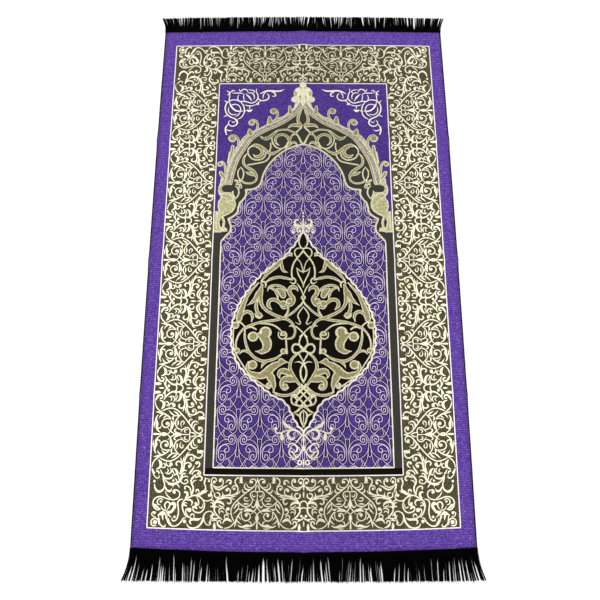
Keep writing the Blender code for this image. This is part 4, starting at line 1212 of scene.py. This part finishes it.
# %% Ornament of the medallion
medallion_strokes = [
    # the bud and the knot at the top
    pen([(0.5, 72), (-6, 57), (-9.8, 42), (-6.5, 32), (0, 25)], 2.8, (0.6, 1, 1, 1, 0.8)),
    pen([(0, 27), (-10, 28.5), (-18, 24), (-19, 14), (-14, 5)], 2.8),
    pen([(0, 22), (-8, 11), (-15, 2.5), (-22, -9), (-25.5, -21), (-26, -34), (-24, -44)], 3.4),
    pen([(-27, -41), (-21, -43), (-17, -49), (-21, -55), (-30, -51)], 3.4, (0.6, 1, 1, 1, 0.4)),
    pen([(-14, 2), (-7, -5), (-3, -16), (0, -30)], 2.0),
    pen([(-15, -18), (-11.5, -33), (-6, -44), (-1.5, -54), (0.5, -63)], 2.8, (0.4, 1, 1, 1, 0.6)),
    pen([(-15, -18), (-8, -25), (0, -28)], 2.4, (0.4, 1, 1)),
    pen([(-14, -55), (-7, -65), (0, -81)], 2.8, (0.5, 1, 0.8)),
    pen([(0, -92), (-3, -101), (-9, -107), (-20, -118), (-32, -126.5), (-45, -133)],
        4.8, (0.6, 0.8, 0.9, 1, 1, 1)),
    # the long leaves under the edge
    pen(curl(-29, 14, 4, 2, -90, 330), 2.6),
    pen([(-25, 9), (-34, 10.5), (-42, 4.5), (-51, -1)], 2.8, (0.7, 1, 1, 1)),
    pen([(-47, 2), (-54, -6), (-62, -15), (-73, -24), (-84, -36), (-94, -49)],
        10.5, (0.3, 1, 1, 0.85, 0.6, 0.3)),
    pen([(-49, -3), (-48.5, -15), (-44.5, -25), (-35, -29)], 8.0, (0.5, 1, 0.8, 0.15)),
    pen([(-25, -46), (-40, -42), (-56, -40), (-72, -44), (-83, -51)], 5.8, (0.6, 1, 1, 1, 0.6)),
    pen([(-96, -55), (-89, -50), (-83.5, -56), (-85, -63)], 4.0, (0.5, 1, 1, 0.6)),
    pen([(-92, -58), (-94.5, -74), (-95, -90), (-92, -103), (-84, -114), (-72, -122), (-57, -129),
        (-42, -134.5)], 9.0, (0.6, 1.1, 1, 0.8, 0.7, 0.7, 0.75, 0.75)),
    pen([(-94, -64), (-101, -80), (-109, -93), (-124, -105)], 11.0, (0.6, 1.1, 0.8, 0.12)),
    pen([(-101, -93), (-104.5, -106), (-102, -118), (-97, -128)], 7.6, (0.5, 1, 1, 0.9)),
    pen([(-107, -122), (-103, -130), (-96, -132.5), (-90, -128)], 4.2, (0.4, 1, 1, 0.6)),
    bead(-96.5, -126.5, 5.6),
    pen([(-100, -53), (-112, -67), (-123, -81), (-130, -96), (-136, -112), (-140, -126), (-142, -136)],
        14.0, (0.2, 0.35, 0.5, 0.65, 0.85, 1, 0.9)),
    pen([(-134, -124), (-126, -119), (-117, -121), (-112, -130), (-114, -141)], 7.5, (0.9, 1, 1, 0.8, 0.25)),
    # the tulip inside the upper arc
    pen([(-80, -72), (-76, -63), (-65, -59), (-52, -60.5), (-42, -66), (-35, -75)],
        5.4, (0.3, 0.9, 1, 1, 1, 0.4)),
    pen([(-57, -68), (-49, -74), (-45, -82)], 15.0, (0.5, 1, 0.9)),
    pen([(-77, -64), (-66, -68), (-59, -78), (-56, -91)], 5.6, (0.5, 1, 1, 0.5)),
    pen([(-70, -114), (-77, -106), (-76.5, -96), (-68, -91.5), (-57, -95), (-50, -102)],
        8.0, (0.3, 1, 1, 1, 1, 0.8)),
    bead(-44.5, -101, 7.6),
    pen([(-37, -110), (-44, -112), (-51, -106)], 3.2, (0.6, 1, 0.6)),
    pen([(-12, -72), (-17, -64.5), (-27, -64), (-31.5, -72), (-28, -81), (-22, -90), (-26, -101),
        (-34, -106)], 9.5, (0.25, 0.8, 1, 1, 1, 1, 1, 0.6)),
    bead(-31, -95, 6.8),
    pen([(-34, -107), (-34, -118), (-41, -129)], 4.4, (1, 1, 0.7)),
    # the bud under them, on the middle line
    pen([(0, -108), (-7, -117), (-12, -128), (-9, -138), (-7, -146), (-18, -142)],
        2.8, (0.7, 1, 1, 1, 0.9, 0.3)),
    pen([(-31, -152), (-27, -149.5), (-24, -153)], 3.0, (0.4, 1, 0.4)),
    # the lower arcs
    pen([(-42, -133), (-57, -137), (-72, -139), (-94, -142.5), (-112, -148), (-128, -155), (-138, -165),
        (-144, -176), (-147, -190), (-145, -203)], 5.6, (1, 1, 1, 1, 1, 0.9, 0.8, 0.7, 0.6, 0.5)),
    bead(-144, -204.5, 6.0),
    pen([(-43, -133), (-32, -138), (-24, -146), (-18.5, -158), (-19.5, -170), (-25, -177), (-35, -179)],
        5.8, (1, 1, 0.9, 0.8, 0.8, 0.8, 0.5)),
    pen([(-94, -146), (-79, -146), (-67, -148.5), (-57, -154), (-48, -162)], 3.4, (0.4, 1, 1, 1, 0.8)),
    pen(curl(-44.5, -170, 11, 4.5, 150, 400), 3.4, (0.7, 1, 1)),
    bead(-43.5, -167.5, 5.4),
    pen([(-38, -180), (-37, -194), (-36, -210)], 3.6, (1, 1, 1.2)),
    bead(-43.5, -206, 6.0),
    bead(-149, -149, 7.8),
    pen([(-146, -143), (-139, -143), (-132, -148), (-126, -156)], 3.0),
    pen([(-153, -155), (-153.5, -172), (-152.5, -190), (-148.5, -206), (-142, -219), (-134, -231),
        (-124, -246)], 2.8),
    pen([(-128, -160), (-128, -176), (-124.5, -192), (-120, -204), (-112, -214), (-102, -222), (-88, -227),
        (-73, -225.5), (-58, -220), (-46, -211)], 6.0, (0.5, 0.8, 0.9, 1, 1, 1, 1, 1, 0.8, 0.5)),
    pen([(-139, -212), (-131, -205), (-122, -207), (-113, -213)], 5.0, (0.3, 1, 1, 0.7)),
    pen([(-91, -242), (-87, -233), (-81, -229)], 6.0, (0.2, 1, 0.9)),
    # the three-lobed leaf between them
    pen([(-126, -156), (-114, -153), (-104, -158)], 3.4),
    pen([(-97, -170), (-87, -176), (-80, -186), (-80, -197), (-88, -206), (-104, -206)],
        19.0, (0.5, 1, 1.1, 1, 0.6, 0.1)),
    bead(-110, -174, 10.5),
    bead(-83, -165, 12.5),
    # the lower leaves
    bead(-110, -235, 9.6),
    pen([(-119, -229), (-121.5, -240), (-117, -250), (-106, -255.5), (-94, -258), (-83, -254), (-74, -246),
        (-64, -238), (-53, -232.5), (-42, -229), (-33, -229.5)],
        14.0, (0.25, 0.45, 0.5, 0.8, 1, 1.25, 1.3, 1.1, 0.8, 0.5, 0.12)),
    bead(-48, -227, 6.2),
    pen([(-77, -250), (-70, -262), (-64.5, -276), (-63, -290)], 14.0, (1.1, 1.2, 0.8, 0.2)),
    pen(curl(-74, -280, 6.5, 2.6, 100, 330), 3.4),
    bead(-74, -280, 3.4),
    pen([(-124, -246), (-115, -257), (-104, -265), (-93, -273), (-81, -281)], 2.8),
    pen([(-65, -292), (-54, -297), (-42, -299), (-28, -297), (-18, -292), (-9, -283)],
        5.4, (0.5, 1, 1, 1, 1, 0.8)),
    # the scrolled leaf beside the stem
    pen([(-11, -210), (-22, -219), (-28, -230), (-29, -243), (-24, -254), (-15, -268), (-5, -281)],
        6.4, (0.6, 0.8, 1, 1.1, 1.1, 1, 0.7)),
    pen([(-30, -252), (-39, -249), (-48, -248.5), (-53, -255), (-51, -263)], 10.0, (1.3, 1.3, 1.1, 0.8, 0.3)),
    pen([(-20, -266), (-30, -265), (-40, -265), (-46, -271), (-47, -280), (-40, -287), (-33, -283)],
        9.6, (1.2, 1.5, 1.3, 1, 0.7, 0.5, 0.4)),
    bead(-39, -280, 5.6),
    # knots on the middle line
    pen([(-16, -152), (-8, -159), (0, -167), (8, -175)], 2.6),
    pen([(0, -167), (-7, -178), (-9, -190), (-5, -199), (1, -206)], 3.0),
    pen([(0, -203), (-10, -192), (-20, -191.5), (-24.5, -200), (-20, -208.5), (-10, -209), (0, -200)], 4.0),
    pen([(-11, -209), (-6, -218), (1, -230)], 2.8),
    pen([(-19, -230), (-10, -228.5), (0, -234)], 2.6, (0.4, 1, 1)),
    pen([(0, -232), (-5.5, -244), (-6, -257), (0, -272)], 3.8),
    # the plait and the tip
    pen([(7, -277), (-2, -286), (-11, -295), (-19, -303)], 3.2),
    pen([(-5, -276), (4, -286), (13, -295), (20, -303)], 3.2),
    pen([(-11, -286), (-1, -296), (9, -306), (17, -314)], 3.2),
    pen([(-19, -297), (-9, -306), (0, -315), (7, -322)], 3.2),
    pen([(-22, -297), (-26, -306), (-23, -316), (-15, -319), (-6, -321)], 3.4),
    pen([(-21, -300), (-14, -309), (-16, -317)], 3.0),
    pen([(0, -321), (-7, -325), (-13, -331), (-21, -334)], 4.4, (1, 1, 0.9, 0.3)),
    pen([(0, -329), (-7, -337), (-5.5, -350), (0, -363)], 3.6, (0.6, 1, 1, 0.8)),
    pen([(-19, -336), (-12, -339), (-6, -344)], 3.4, (0.3, 1, 0.7)),
]
medallion_middle = [bead(0, -87, 5.0), pen([(0, -332), (0, -345), (0, -356)], 1.6)]
print("strokes in half a medallion:", len(medallion_strokes))

# %% Small palmettes above and below the medallion
palmette_above = [
    pen([(-2, 83), (-9, 82.5), (-16, 84.5), (-19.5, 90), (-17, 95.5), (-11.5, 96.5)],
        5.4, (0.6, 0.9, 1.1, 0.9, 0.8, 0.7)),
    pen([(-22, 86), (-18, 82), (-14, 80)], 3.0, (0.6, 1, 0.5)),
    pen([(-1, 85), (-6, 88), (-9, 92)], 2.2, (1, 1, 0.5)),
    pen([(-1, 74), (-6, 79.5), (-11.5, 78), (-14, 71), (-11, 65.5)], 3.6, (0.8, 1, 1, 1, 0.8)),
    bead(-7.5, 69.5, 3.2),
    pen([(-14, 75), (-18, 77.5), (-25, 76.5)], 3.0, (0.8, 1, 0.5)),
    pen([(-18, 72), (-22, 73.5), (-25.5, 70), (-25, 64)], 2.6, (0.6, 1, 1, 0.8)),
    bead(-21.5, 66.5, 3.4),
]
palmette_above_middle = [
    pen([(0, 75), (0, 84), (0, 92), (0, 100)], 3.8, (1.3, 1.1, 1, 0.6)),
    bead(0, 105, 2.6),
    bead(0, 112.5, 2.6),
]
palmette_below = [
    pen([(-4, -379), (-10, -373), (-18, -369.5), (-27, -369.5), (-32.5, -375), (-32, -383), (-25, -387.5),
        (-19, -385)], 4.6, (0.6, 0.7, 0.9, 1.1, 1.2, 1.1, 1, 0.7)),
    pen([(-17, -373), (-21, -378), (-19, -381)], 2.2, (0.5, 1, 0.5)),
    pen([(-33, -371), (-40, -371.5), (-47, -375), (-54, -375.5), (-59, -371), (-59, -365)],
        3.0, (0.6, 0.9, 1, 1, 1, 1.3)),
    bead(-58.5, -366, 3.2),
    pen([(-46, -375), (-45.5, -381), (-45, -386)], 7.6, (0.5, 1, 1.1)),
    pen([(-43, -352), (-37, -360), (-30, -364), (-22, -365.5)], 6.0, (0.6, 1.2, 0.9, 0.3)),
    pen([(0, -377), (-7, -384), (-16, -394.5)], 2.8, (0.8, 1, 0.9)),
    pen([(-32, -403.5), (-30, -398), (-23, -396), (-16, -400), (-13, -407), (-17, -413)],
        3.4, (0.8, 1, 1, 1, 1.3, 0.8)),
    pen([(-25, -404), (-30, -411), (-29.5, -417), (-25, -421)], 3.4, (0.6, 1, 1, 0.7)),
    pen([(-24.5, -411), (-20, -417), (-15, -422.5)], 2.8),
    pen([(-3, -407), (-6, -414), (-14, -423.5), (-22, -427.5)], 2.8, (0.6, 1, 1, 0.7)),
    pen([(-30, -424), (-25, -422.5), (-21, -427)], 3.0, (0.5, 1, 0.8)),
    pen(curl(-7.5, -433.5, 4.4, 4.2, 90, 330), 2.8),
]
palmette_below_middle = [
    pen([(0, -378), (0, -388), (0, -398)], 4.0, (0.6, 1.2, 0.5)),
    pen([(0, -400), (0, -404.5), (0, -409)], 7.6, (0.5, 1.1, 0.6)),
    pen([(0, -426), (0, -433), (0, -440)], 3.4, (0.5, 1, 0.9)),
]
print("strokes in half of each palmette:", len(palmette_above), "and", len(palmette_below))
# %% Weaving the medallion
EDGE_LINE = 3.8  # width of the scalloped line
PALMETTE_PEN = 0.9
ground("medallion_ground", [medallion_rim], black_ground_yarn, top=0.24)
ring_run = [Vector((x, y, EDGE_LINE)) for x, y in medallion_ring]
weave("medallion_edge", [ring_run + ring_run[:2]], cream_yarn, base=0.30)
weave_inlaid("medallion_scrolls", mirrored(medallion_strokes) + medallion_middle, pale_gold_yarn, base=0.30)
palmettes = mirrored(palmette_above + palmette_below) + palmette_above_middle + palmette_below_middle
weave("palmettes", drawn(bolder(palmettes, PALMETTE_PEN)), cream_yarn, base=0.26)

# %% [markdown]
# ## Scrolls in the niche's corners
# Two rings of fine line interlace in each upper corner of the field, with a long leaf to the right and a
# short one below. They float over plain purple, in the same silvery film as the ruled lines, with dark yarn
# beside them.

# %% Corner scrolls
corner_rings = [
    pen([(-152, 402), (-160, 406), (-169, 407.5), (-179, 405), (-187, 397), (-189.5, 385), (-187, 373),
        (-179, 363), (-169, 358), (-161.5, 353), (-159, 345), (-165, 337.5), (-175, 337.5), (-180.5, 345),
        (-177, 352)], 3.4, (0.6, 0.8, 0.9, 1, 1, 1, 1, 1, 1, 1.2, 1.2, 1, 0.8, 0.7, 0.5)),
    pen([(-152, 401), (-145.5, 392), (-143, 381), (-144.5, 369), (-150, 360), (-158, 355)],
        3.2, (0.7, 1, 1, 1, 0.9, 0.6)),
    pen([(-177, 391), (-171, 394.5), (-163, 395), (-156, 391), (-152, 383), (-153, 374), (-157, 367),
        (-164, 362)], 2.8, (0.6, 1, 1, 1, 1, 1, 0.9, 0.5)),
    pen([(-181, 388), (-181.5, 378), (-177, 370), (-169, 367), (-160, 369)], 2.6, (0.5, 1, 1, 1, 0.5)),
    pen([(-180, 402), (-176, 391), (-169, 382), (-160, 377), (-147, 377)], 5.0, (0.3, 0.9, 1, 0.9, 0.4)),
    pen([(-173, 350), (-168, 346), (-163, 351)], 2.4, (0.4, 1, 0.5)),
    pen([(-181, 341), (-186, 334), (-187, 325), (-184, 314)], 4.4, (0.5, 0.9, 1, 0.7)),
    pen([(-184, 327), (-177, 324), (-170, 325.5)], 3.0, (0.8, 1, 0.4)),
    pen([(-174, 426), (-163, 426), (-153, 426), (-147, 424)], 3.0, (0.5, 1, 1, 0.7)),
    pen([(-158, 421), (-160, 412), (-156, 403.5), (-146, 403.5), (-136, 401.5), (-126, 398.5), (-117, 402),
        (-110.5, 411), (-111, 421), (-115, 430), (-114, 438)],
        3.2, (0.5, 0.8, 1, 1, 1, 1, 1, 1, 1, 0.8, 0.4)),
    pen([(-145, 422), (-145.5, 413), (-143, 404)], 2.6, (0.8, 1, 0.5)),
    pen([(-135, 426), (-126, 426), (-120, 419), (-120, 409)], 3.0, (0.5, 1, 1, 0.5)),
    pen([(-157, 436), (-154, 431), (-147, 436), (-139, 435), (-135, 428)], 3.4, (0.4, 1, 1, 1, 0.5)),
    pen([(-134, 435), (-126, 434), (-119, 430), (-123, 426)], 2.8, (0.4, 1, 1, 0.5)),
    pen([(-140, 423), (-132, 415), (-125, 404)], 5.0, (0.4, 1, 0.3)),
    pen([(-110.5, 412), (-104, 406), (-94, 405.5), (-85.5, 410), (-84, 419), (-88, 424)],
        3.6, (0.7, 1, 1, 1, 0.9, 0.5)),
    pen([(-98, 412), (-97, 421), (-92, 428)], 2.8, (0.7, 1, 1)),
    pen([(-105, 424), (-98, 428), (-89, 431.5), (-79, 432), (-67, 431), (-56, 431.5), (-46, 436)],
        5.2, (0.3, 0.8, 1, 1, 1, 0.9, 0.2)),
    pen([(-76, 429), (-69, 425), (-68, 418), (-74, 417)], 4.0, (0.9, 1, 0.9, 0.6)),
    pen([(-143, 394), (-135, 391.5), (-125, 391), (-116, 394)], 2.8, (0.4, 1, 1, 0.7)),
    bead(-112, 396, 3.0),
    pen([(-108, 394), (-109, 400), (-104, 404)], 3.2, (0.7, 1, 0.4)),
    pen([(-130, 391), (-130, 384)], 2.6),
    pen([(-135, 379), (-130, 377), (-125, 380)], 8.0, (0.5, 1, 0.5)),
    pen([(-143, 377), (-138, 378)], 3.0, (1, 0.6)),
    pen([(-187, 432), (-181, 428), (-180, 418), (-181, 407)], 3.0, (0.6, 1, 1, 0.8)),
    pen([(-181, 428), (-175, 430), (-172, 434), (-168, 431)], 2.8, (0.6, 1, 1, 0.6)),
    pen([(-185, 421), (-181, 424)], 3.4, (0.6, 1)),
    pen([(-191, 405), (-186, 400)], 3.4, (0.5, 1)),
    pen([(-192, 362), (-186, 365)], 3.0, (0.5, 1)),
]
CORNER_FINE, CORNER_DARK = 0.92, 1.9  # widths of the scrolls and of the dark yarn under them, as shares
corner_dark = [smooth(stroke, SHADOW_CHORD) for stroke in bolder(mirrored(corner_rings), CORNER_DARK)]
weave("corner_shadows", corner_dark, shadow_yarn, base=0.06)
weave("corner_scrolls", drawn(bolder(mirrored(corner_rings), CORNER_FINE)), silver_yarn, base=0.26)

# %% [markdown]
# ## The cloth and its edges
# The cloth is one thin closed sheet. It starts as an even grid, is cut more finely along the creases so
# that they bend softly, and gets its thickness from an extrusion. The laying-out comes last, as for every
# other piece.

# %% Cloth
CLOTH_CELL = 10.0  # mm, away from the creases


def cloth_mesh():
    """The laid-out cloth: a grid, cut along the creases and given its thickness."""
    made = bmesh.new()
    columns, lines = round(CLOTH_WIDTH / CLOTH_CELL), round(RUG_LENGTH / CLOTH_CELL)
    bmesh.ops.create_grid(made, x_segments=columns, y_segments=lines, size=1.0)
    bmesh.ops.scale(made, vec=(CLOTH_WIDTH / 2, RUG_LENGTH / 2, 1.0), verts=made.verts)
    cut_rows(made, crease_rows(0.0), 0)
    for crease in CROSSWAYS:
        cut_rows(made, crease_rows(crease["at"]), 1)
    raised = bmesh.ops.extrude_face_region(made, geom=made.faces[:])["geom"]
    corners = [part for part in raised if isinstance(part, bmesh.types.BMVert)]
    bmesh.ops.translate(made, vec=(0, 0, CLOTH_THICKNESS), verts=corners)
    bmesh.ops.recalc_face_normals(made, faces=made.faces)
    mesh = bpy.data.meshes.new("cloth")
    made.to_mesh(mesh)
    made.free()
    lay_mesh(mesh, -CLOTH_THICKNESS)
    mesh.shade_smooth()
    return mesh


cloth = piece("cloth", cloth_mesh(), [purple_yarn], ["rug_cloth"])


# %% [markdown]
# ## Overcast edges and fringes
# Each long edge is wound with black thread, so it is a dark core with one long spiral round it. Each short
# end has a narrow black heading, and from it hang some 190 locks of loose yarn. Hair particles could do
# that, but they aren't a mesh. Here a lock is one flat tapering run for its packed threads, with a few
# loose threads on top. More than half of the locks part from their neighbour somewhere along their length,
# which lets the floor show between them. All of them lean a little this way or that and come down to the
# floor.

# %% Overcast edges
WIND_PITCH = 2.2  # mm from one turn of the thread to the next
WIND_STEPS = 8  # points to a turn
WIND_ACROSS, WIND_UP, WIND_RADIUS = 1.05, 0.85, 0.45  # mm, half the size of a turn and of the thread
CORE_RADIUS, CORE_STEPS = 1.1, 480
WIND_SHARE, CORE_SHARE = 0.998, 0.999  # of the rug's length
thread_section = section("thread", ((1, 0), (0, 1), (-1, 0), (0, -1)))


def overcast(name, side, node):
    """The wound edge on one long side."""
    middle = side * (RUG_WIDTH - OVERCAST_WIDTH) / 2
    height = OVERCAST_THICKNESS / 2
    points = round(RUG_LENGTH / WIND_PITCH) * WIND_STEPS
    winding = []
    for i in range(points + 1):
        angle = 2 * math.pi * i / WIND_STEPS
        y = RUG_LENGTH * (i / points - 0.5) * WIND_SHARE
        x, z = middle + WIND_ACROSS * math.cos(angle), height + WIND_UP * math.sin(angle)
        winding.append((x, y, z, WIND_RADIUS))
    places = [RUG_LENGTH * (i / CORE_STEPS - 0.5) * CORE_SHARE for i in range(CORE_STEPS + 1)]
    core = [(middle, y, height, CORE_RADIUS) for y in places]
    mesh = curve_mesh(name, [winding, core], thread_section)
    lay_mesh(mesh, -CLOTH_THICKNESS)
    mesh.shade_smooth()
    return piece(name, mesh, [black_thread], [node])


overcasts = [overcast("edge_left", -1, "overcast_left"), overcast("edge_right", 1, "overcast_right")]

# %% Locks of the fringes
LOCKS = 190
OVERLAP = 1.1  # width of a lock at its root, as a share of the pitch
LEAN_POWER = 1.5  # a lock leans more and more towards its tip
ROOT_DEPTH, TIP_DEPTH = 1.0, 0.4  # mm from the floor to the middle of a lock, at its root and at its tip
BODY_SHARE = 0.97  # a lock's packed threads end just before its loose ones
PARTED = 0.6  # share of the locks that stand apart from the next one
WIDE, SLIGHT = (0.12, 0.66), (0.0, 0.1)  # gaps of those and of the others, as shares of the pitch
PARTS_FROM, PARTS_OVER = (-0.1, 0.5), 0.3  # where a gap starts and how fast it opens, as shares of the length
THREADS = 6  # loose ones, on top of a lock
STEPS = 8  # points along a thread
THREAD_HEIGHT, THREAD_RADIUS = (0.9, 2.0), (0.18, 0.30)
STRAY, STRAY_WAVE, CALM_WAVE = 0.3, 1.4, 0.3  # share of the threads that stray, and how far both kinds do
fringe_section = section("fringe thread", ((1, 0), (-0.5, 0.87), (-0.5, -0.87)))
lock_section = section("fringe lock", ((1, 0), (0, 0.2), (-1, 0), (0, -0.2)))


def parting(chance):
    """How a lock parts from its neighbour: where that starts, how wide it gets, and to which side."""
    wide = chance.uniform(*WIDE) if chance.random() < PARTED else chance.uniform(*SLIGHT)
    return chance.uniform(*PARTS_FROM), wide, chance.choice((-1, 1))


def lock_place(root_x, lean, parted, share):
    """The middle and the half width of a lock at this share of its length."""
    start, wide, side = parted
    pitch = RUG_WIDTH / LOCKS
    gap = wide * min(1.0, max(0.0, share - start) / PARTS_OVER)
    return root_x + lean * share**LEAN_POWER + side * gap * pitch / 2, pitch * (OVERLAP - gap) / 2


def lock_body(root_x, end, lean, length, parted):
    """The close-packed threads of a lock as one flat run, which thins where the lock parts from the next."""
    start_y = end * (RUG_LENGTH / 2 + SEAM_GAP + HEADING_DEPTH - 1.0)
    run = []
    for step in range(STEPS):
        share = step / (STEPS - 1)
        x, half = lock_place(root_x, lean, parted, share)
        height = ROOT_DEPTH - (ROOT_DEPTH - TIP_DEPTH) * share
        run.append((x, start_y + end * length * share * BODY_SHARE, height, half))
    return run


def lock_threads(root_x, end, lean, length, parted, chance):
    """The loose threads of one lock as runs of points, from the hem over the heading to the tips."""
    start_y = end * (RUG_LENGTH / 2 + SEAM_GAP + HEADING_DEPTH)
    threads = []
    for number in range(THREADS):
        across = 2 * (number + 0.5) / THREADS - 1
        own = length + chance.uniform(-2.5, 1.5)
        height = chance.uniform(*THREAD_HEIGHT)
        stray = STRAY_WAVE if chance.random() < STRAY else CALM_WAVE
        wave = chance.uniform(-stray, stray)
        radius = chance.uniform(*THREAD_RADIUS)
        run = []
        for step in range(STEPS):
            share = step / (STEPS - 1)
            middle, half = lock_place(root_x, lean, parted, share)
            x = middle + across * half * 0.95 + wave * math.sin(math.pi * (share * 1.5 + 0.2 * wave)) * share
            y = start_y + end * own * share - end * (HEADING_DEPTH - 2.0) * (1 - share)
            z = (height + 1.2 * (1 - share) ** 2) * (1 - 0.55 * share**2) + 0.2
            run.append((x, y, z, radius * (1 - 0.45 * share**3)))
        threads.append(run)
    return threads


print("pitch of the locks:", round(RUG_WIDTH / LOCKS, 2), "mm")

# %% Fringes
FRINGE_SEED = 4
SWAY, SWAYS = 4.5, 7  # mm that the locks lean together, and how often that changes along a fringe
SPLAY_POWER = 11  # only the last locks lean out over the corner
LENGTH_VARIES = 1.5
SETTLED = 40  # mm from the heading to where the threads lie on the floor


def settle(mesh, end):
    """Lets the threads down to the floor, away from the heading, where the creases no longer hold them up."""
    start = end * (RUG_LENGTH / 2 + SEAM_GAP + HEADING_DEPTH)
    for vertex in mesh.vertices:
        share = (vertex.co.y / MM - CLOTH_MIDDLE_Y - start) * end / SETTLED
        if share > 0:
            held = lift(vertex.co.x / MM, end * RUG_LENGTH / 2) * MM
            vertex.co.z -= held * min(1.0, share * (2 - min(share, 1.0)))


def fringe(name, end, reach, longer, splay, node):
    """A heading and its locks, which grow longer towards the corners by the measure given."""
    chance = random.Random(FRINGE_SEED + end)
    finer = random.Random(FRINGE_SEED * 10 + end)
    threads, bodies = [], []
    for lock in range(LOCKS):
        root_x = (lock + 0.5) * RUG_WIDTH / LOCKS - RUG_WIDTH / 2
        u = 2 * root_x / RUG_WIDTH
        wander = SWAY * math.sin(math.pi * SWAYS * u + end)
        lean = splay * u**SPLAY_POWER + wander * (1 - u * u)
        length = reach + longer * u * u - HEADING_DEPTH - SEAM_GAP - chance.random() * LENGTH_VARIES
        parted = parting(finer)
        threads += lock_threads(root_x, end, lean, length, parted, finer)
        bodies.append(lock_body(root_x, end, lean, length, parted))
    made = bmesh.new()
    bmesh.ops.create_cube(made, size=1.0)
    bmesh.ops.scale(made, vec=(RUG_WIDTH, HEADING_DEPTH, HEADING_THICKNESS), verts=made.verts)
    middle = end * (RUG_LENGTH / 2 + SEAM_GAP + HEADING_DEPTH / 2)
    bmesh.ops.translate(made, vec=(0, middle, HEADING_THICKNESS / 2), verts=made.verts)
    cut_rows(made, crease_rows(0.0) + plain_rows(RUG_WIDTH / 2, [0.0]), 0)
    mesh = curve_mesh(name, threads, fringe_section)
    made.from_mesh(mesh)
    made.from_mesh(curve_mesh(name + " locks", bodies, lock_section))
    made.to_mesh(mesh)
    made.free()
    lay_mesh(mesh, -CLOTH_THICKNESS)
    settle(mesh, end)
    return piece(name, mesh, [black_thread], [node])


fringes = [
    fringe("fringe_top", 1, reach=47.0, longer=0.0, splay=12.0, node="fringe_far"),
    fringe("fringe_bottom", -1, reach=57.5, longer=7.5, splay=16.0, node="fringe_near"),
]

# %% [markdown]
# ## Floor, light and camera
# The photograph is taken by someone standing at the rug's near end and looking nearly straight down, on a
# floor as white as paper. Light comes softly from both sides and less from above, so the filament yarn
# glows at the sides of the rug and turns darker towards its middle.

# %% Floor
floor_material = bpy.data.materials.new("white floor")
floor_material.use_nodes = True
floor_shader = floor_material.node_tree.nodes["Principled BSDF"]
floor_shader.inputs["Base Color"].default_value = linear("#ffffff")
floor_shader.inputs["Roughness"].default_value = 0.9
bpy.ops.mesh.primitive_plane_add(size=8.0, location=(0, 0, -0.0002))  # a hair under the lowest threads
floor = bpy.context.object
floor.name = "floor"
floor.data.materials.append(floor_material)
print("floor:", tuple(round(side, 1) for side in floor.dimensions), "m")

# %% Lights
BOX_LENGTH, BOX_WIDTH, BOX_POWER = 4.4, 0.8, 26  # metres and watts. The long boxes light both ends alike


def softbox(name, place, aim):
    """An area light at a place, turned towards a point of the rug, with its length along the rug's."""
    lamp = bpy.data.lights.new(name, "AREA")
    lamp.shape = "RECTANGLE"
    lamp.size, lamp.size_y = BOX_LENGTH, BOX_WIDTH
    lamp.energy = BOX_POWER
    holder = bpy.data.objects.new(name, lamp)
    holder.location = place
    holder.rotation_euler = (Vector(aim) - Vector(place)).to_track_quat("-Z", "Y").to_euler()
    bpy.context.scene.collection.objects.link(holder)


for name, side in (("left", -1), ("right", 1)):
    softbox(name, (side * 1.05, 0.3, 1.7), (side * 0.2, 0.3, 0))

world = bpy.data.worlds.new("room")
bpy.context.scene.world = world
world.use_nodes = True
background = world.node_tree.nodes["Background"]
background.inputs["Color"].default_value = (1, 1, 1, 1)
background.inputs["Strength"].default_value = 0.6
bpy.context.scene.view_settings.view_transform = "Standard"
print("two softboxes of", BOX_POWER, "W in a white room")

# %% Camera
# Its place, tilt and focal length are the ones that bring the cloth's four corners to where the photograph
# has them, for a cloth of 700 by 1200 mm.
lens = bpy.data.cameras.new("camera")
lens.lens, lens.sensor_width = 26.18, 36.0
camera = bpy.data.objects.new("camera", lens)
camera.location = (-0.0075, -0.2751, 0.9601)
camera.rotation_euler = (math.radians(11.13), 0.0, 0.0)
bpy.context.scene.collection.objects.link(camera)
bpy.context.scene.camera = camera
print("camera", round(camera.location.z, 2), "m up, seeing", round(math.degrees(lens.angle)), "degrees")

# %% [markdown]
# ## Removing the helpers
# The bevel outlines were only tools and are removed.

# %% Removing the bevel outlines
for helper in (tent, thread_section, fringe_section, lock_section):
    bpy.data.objects.remove(helper)
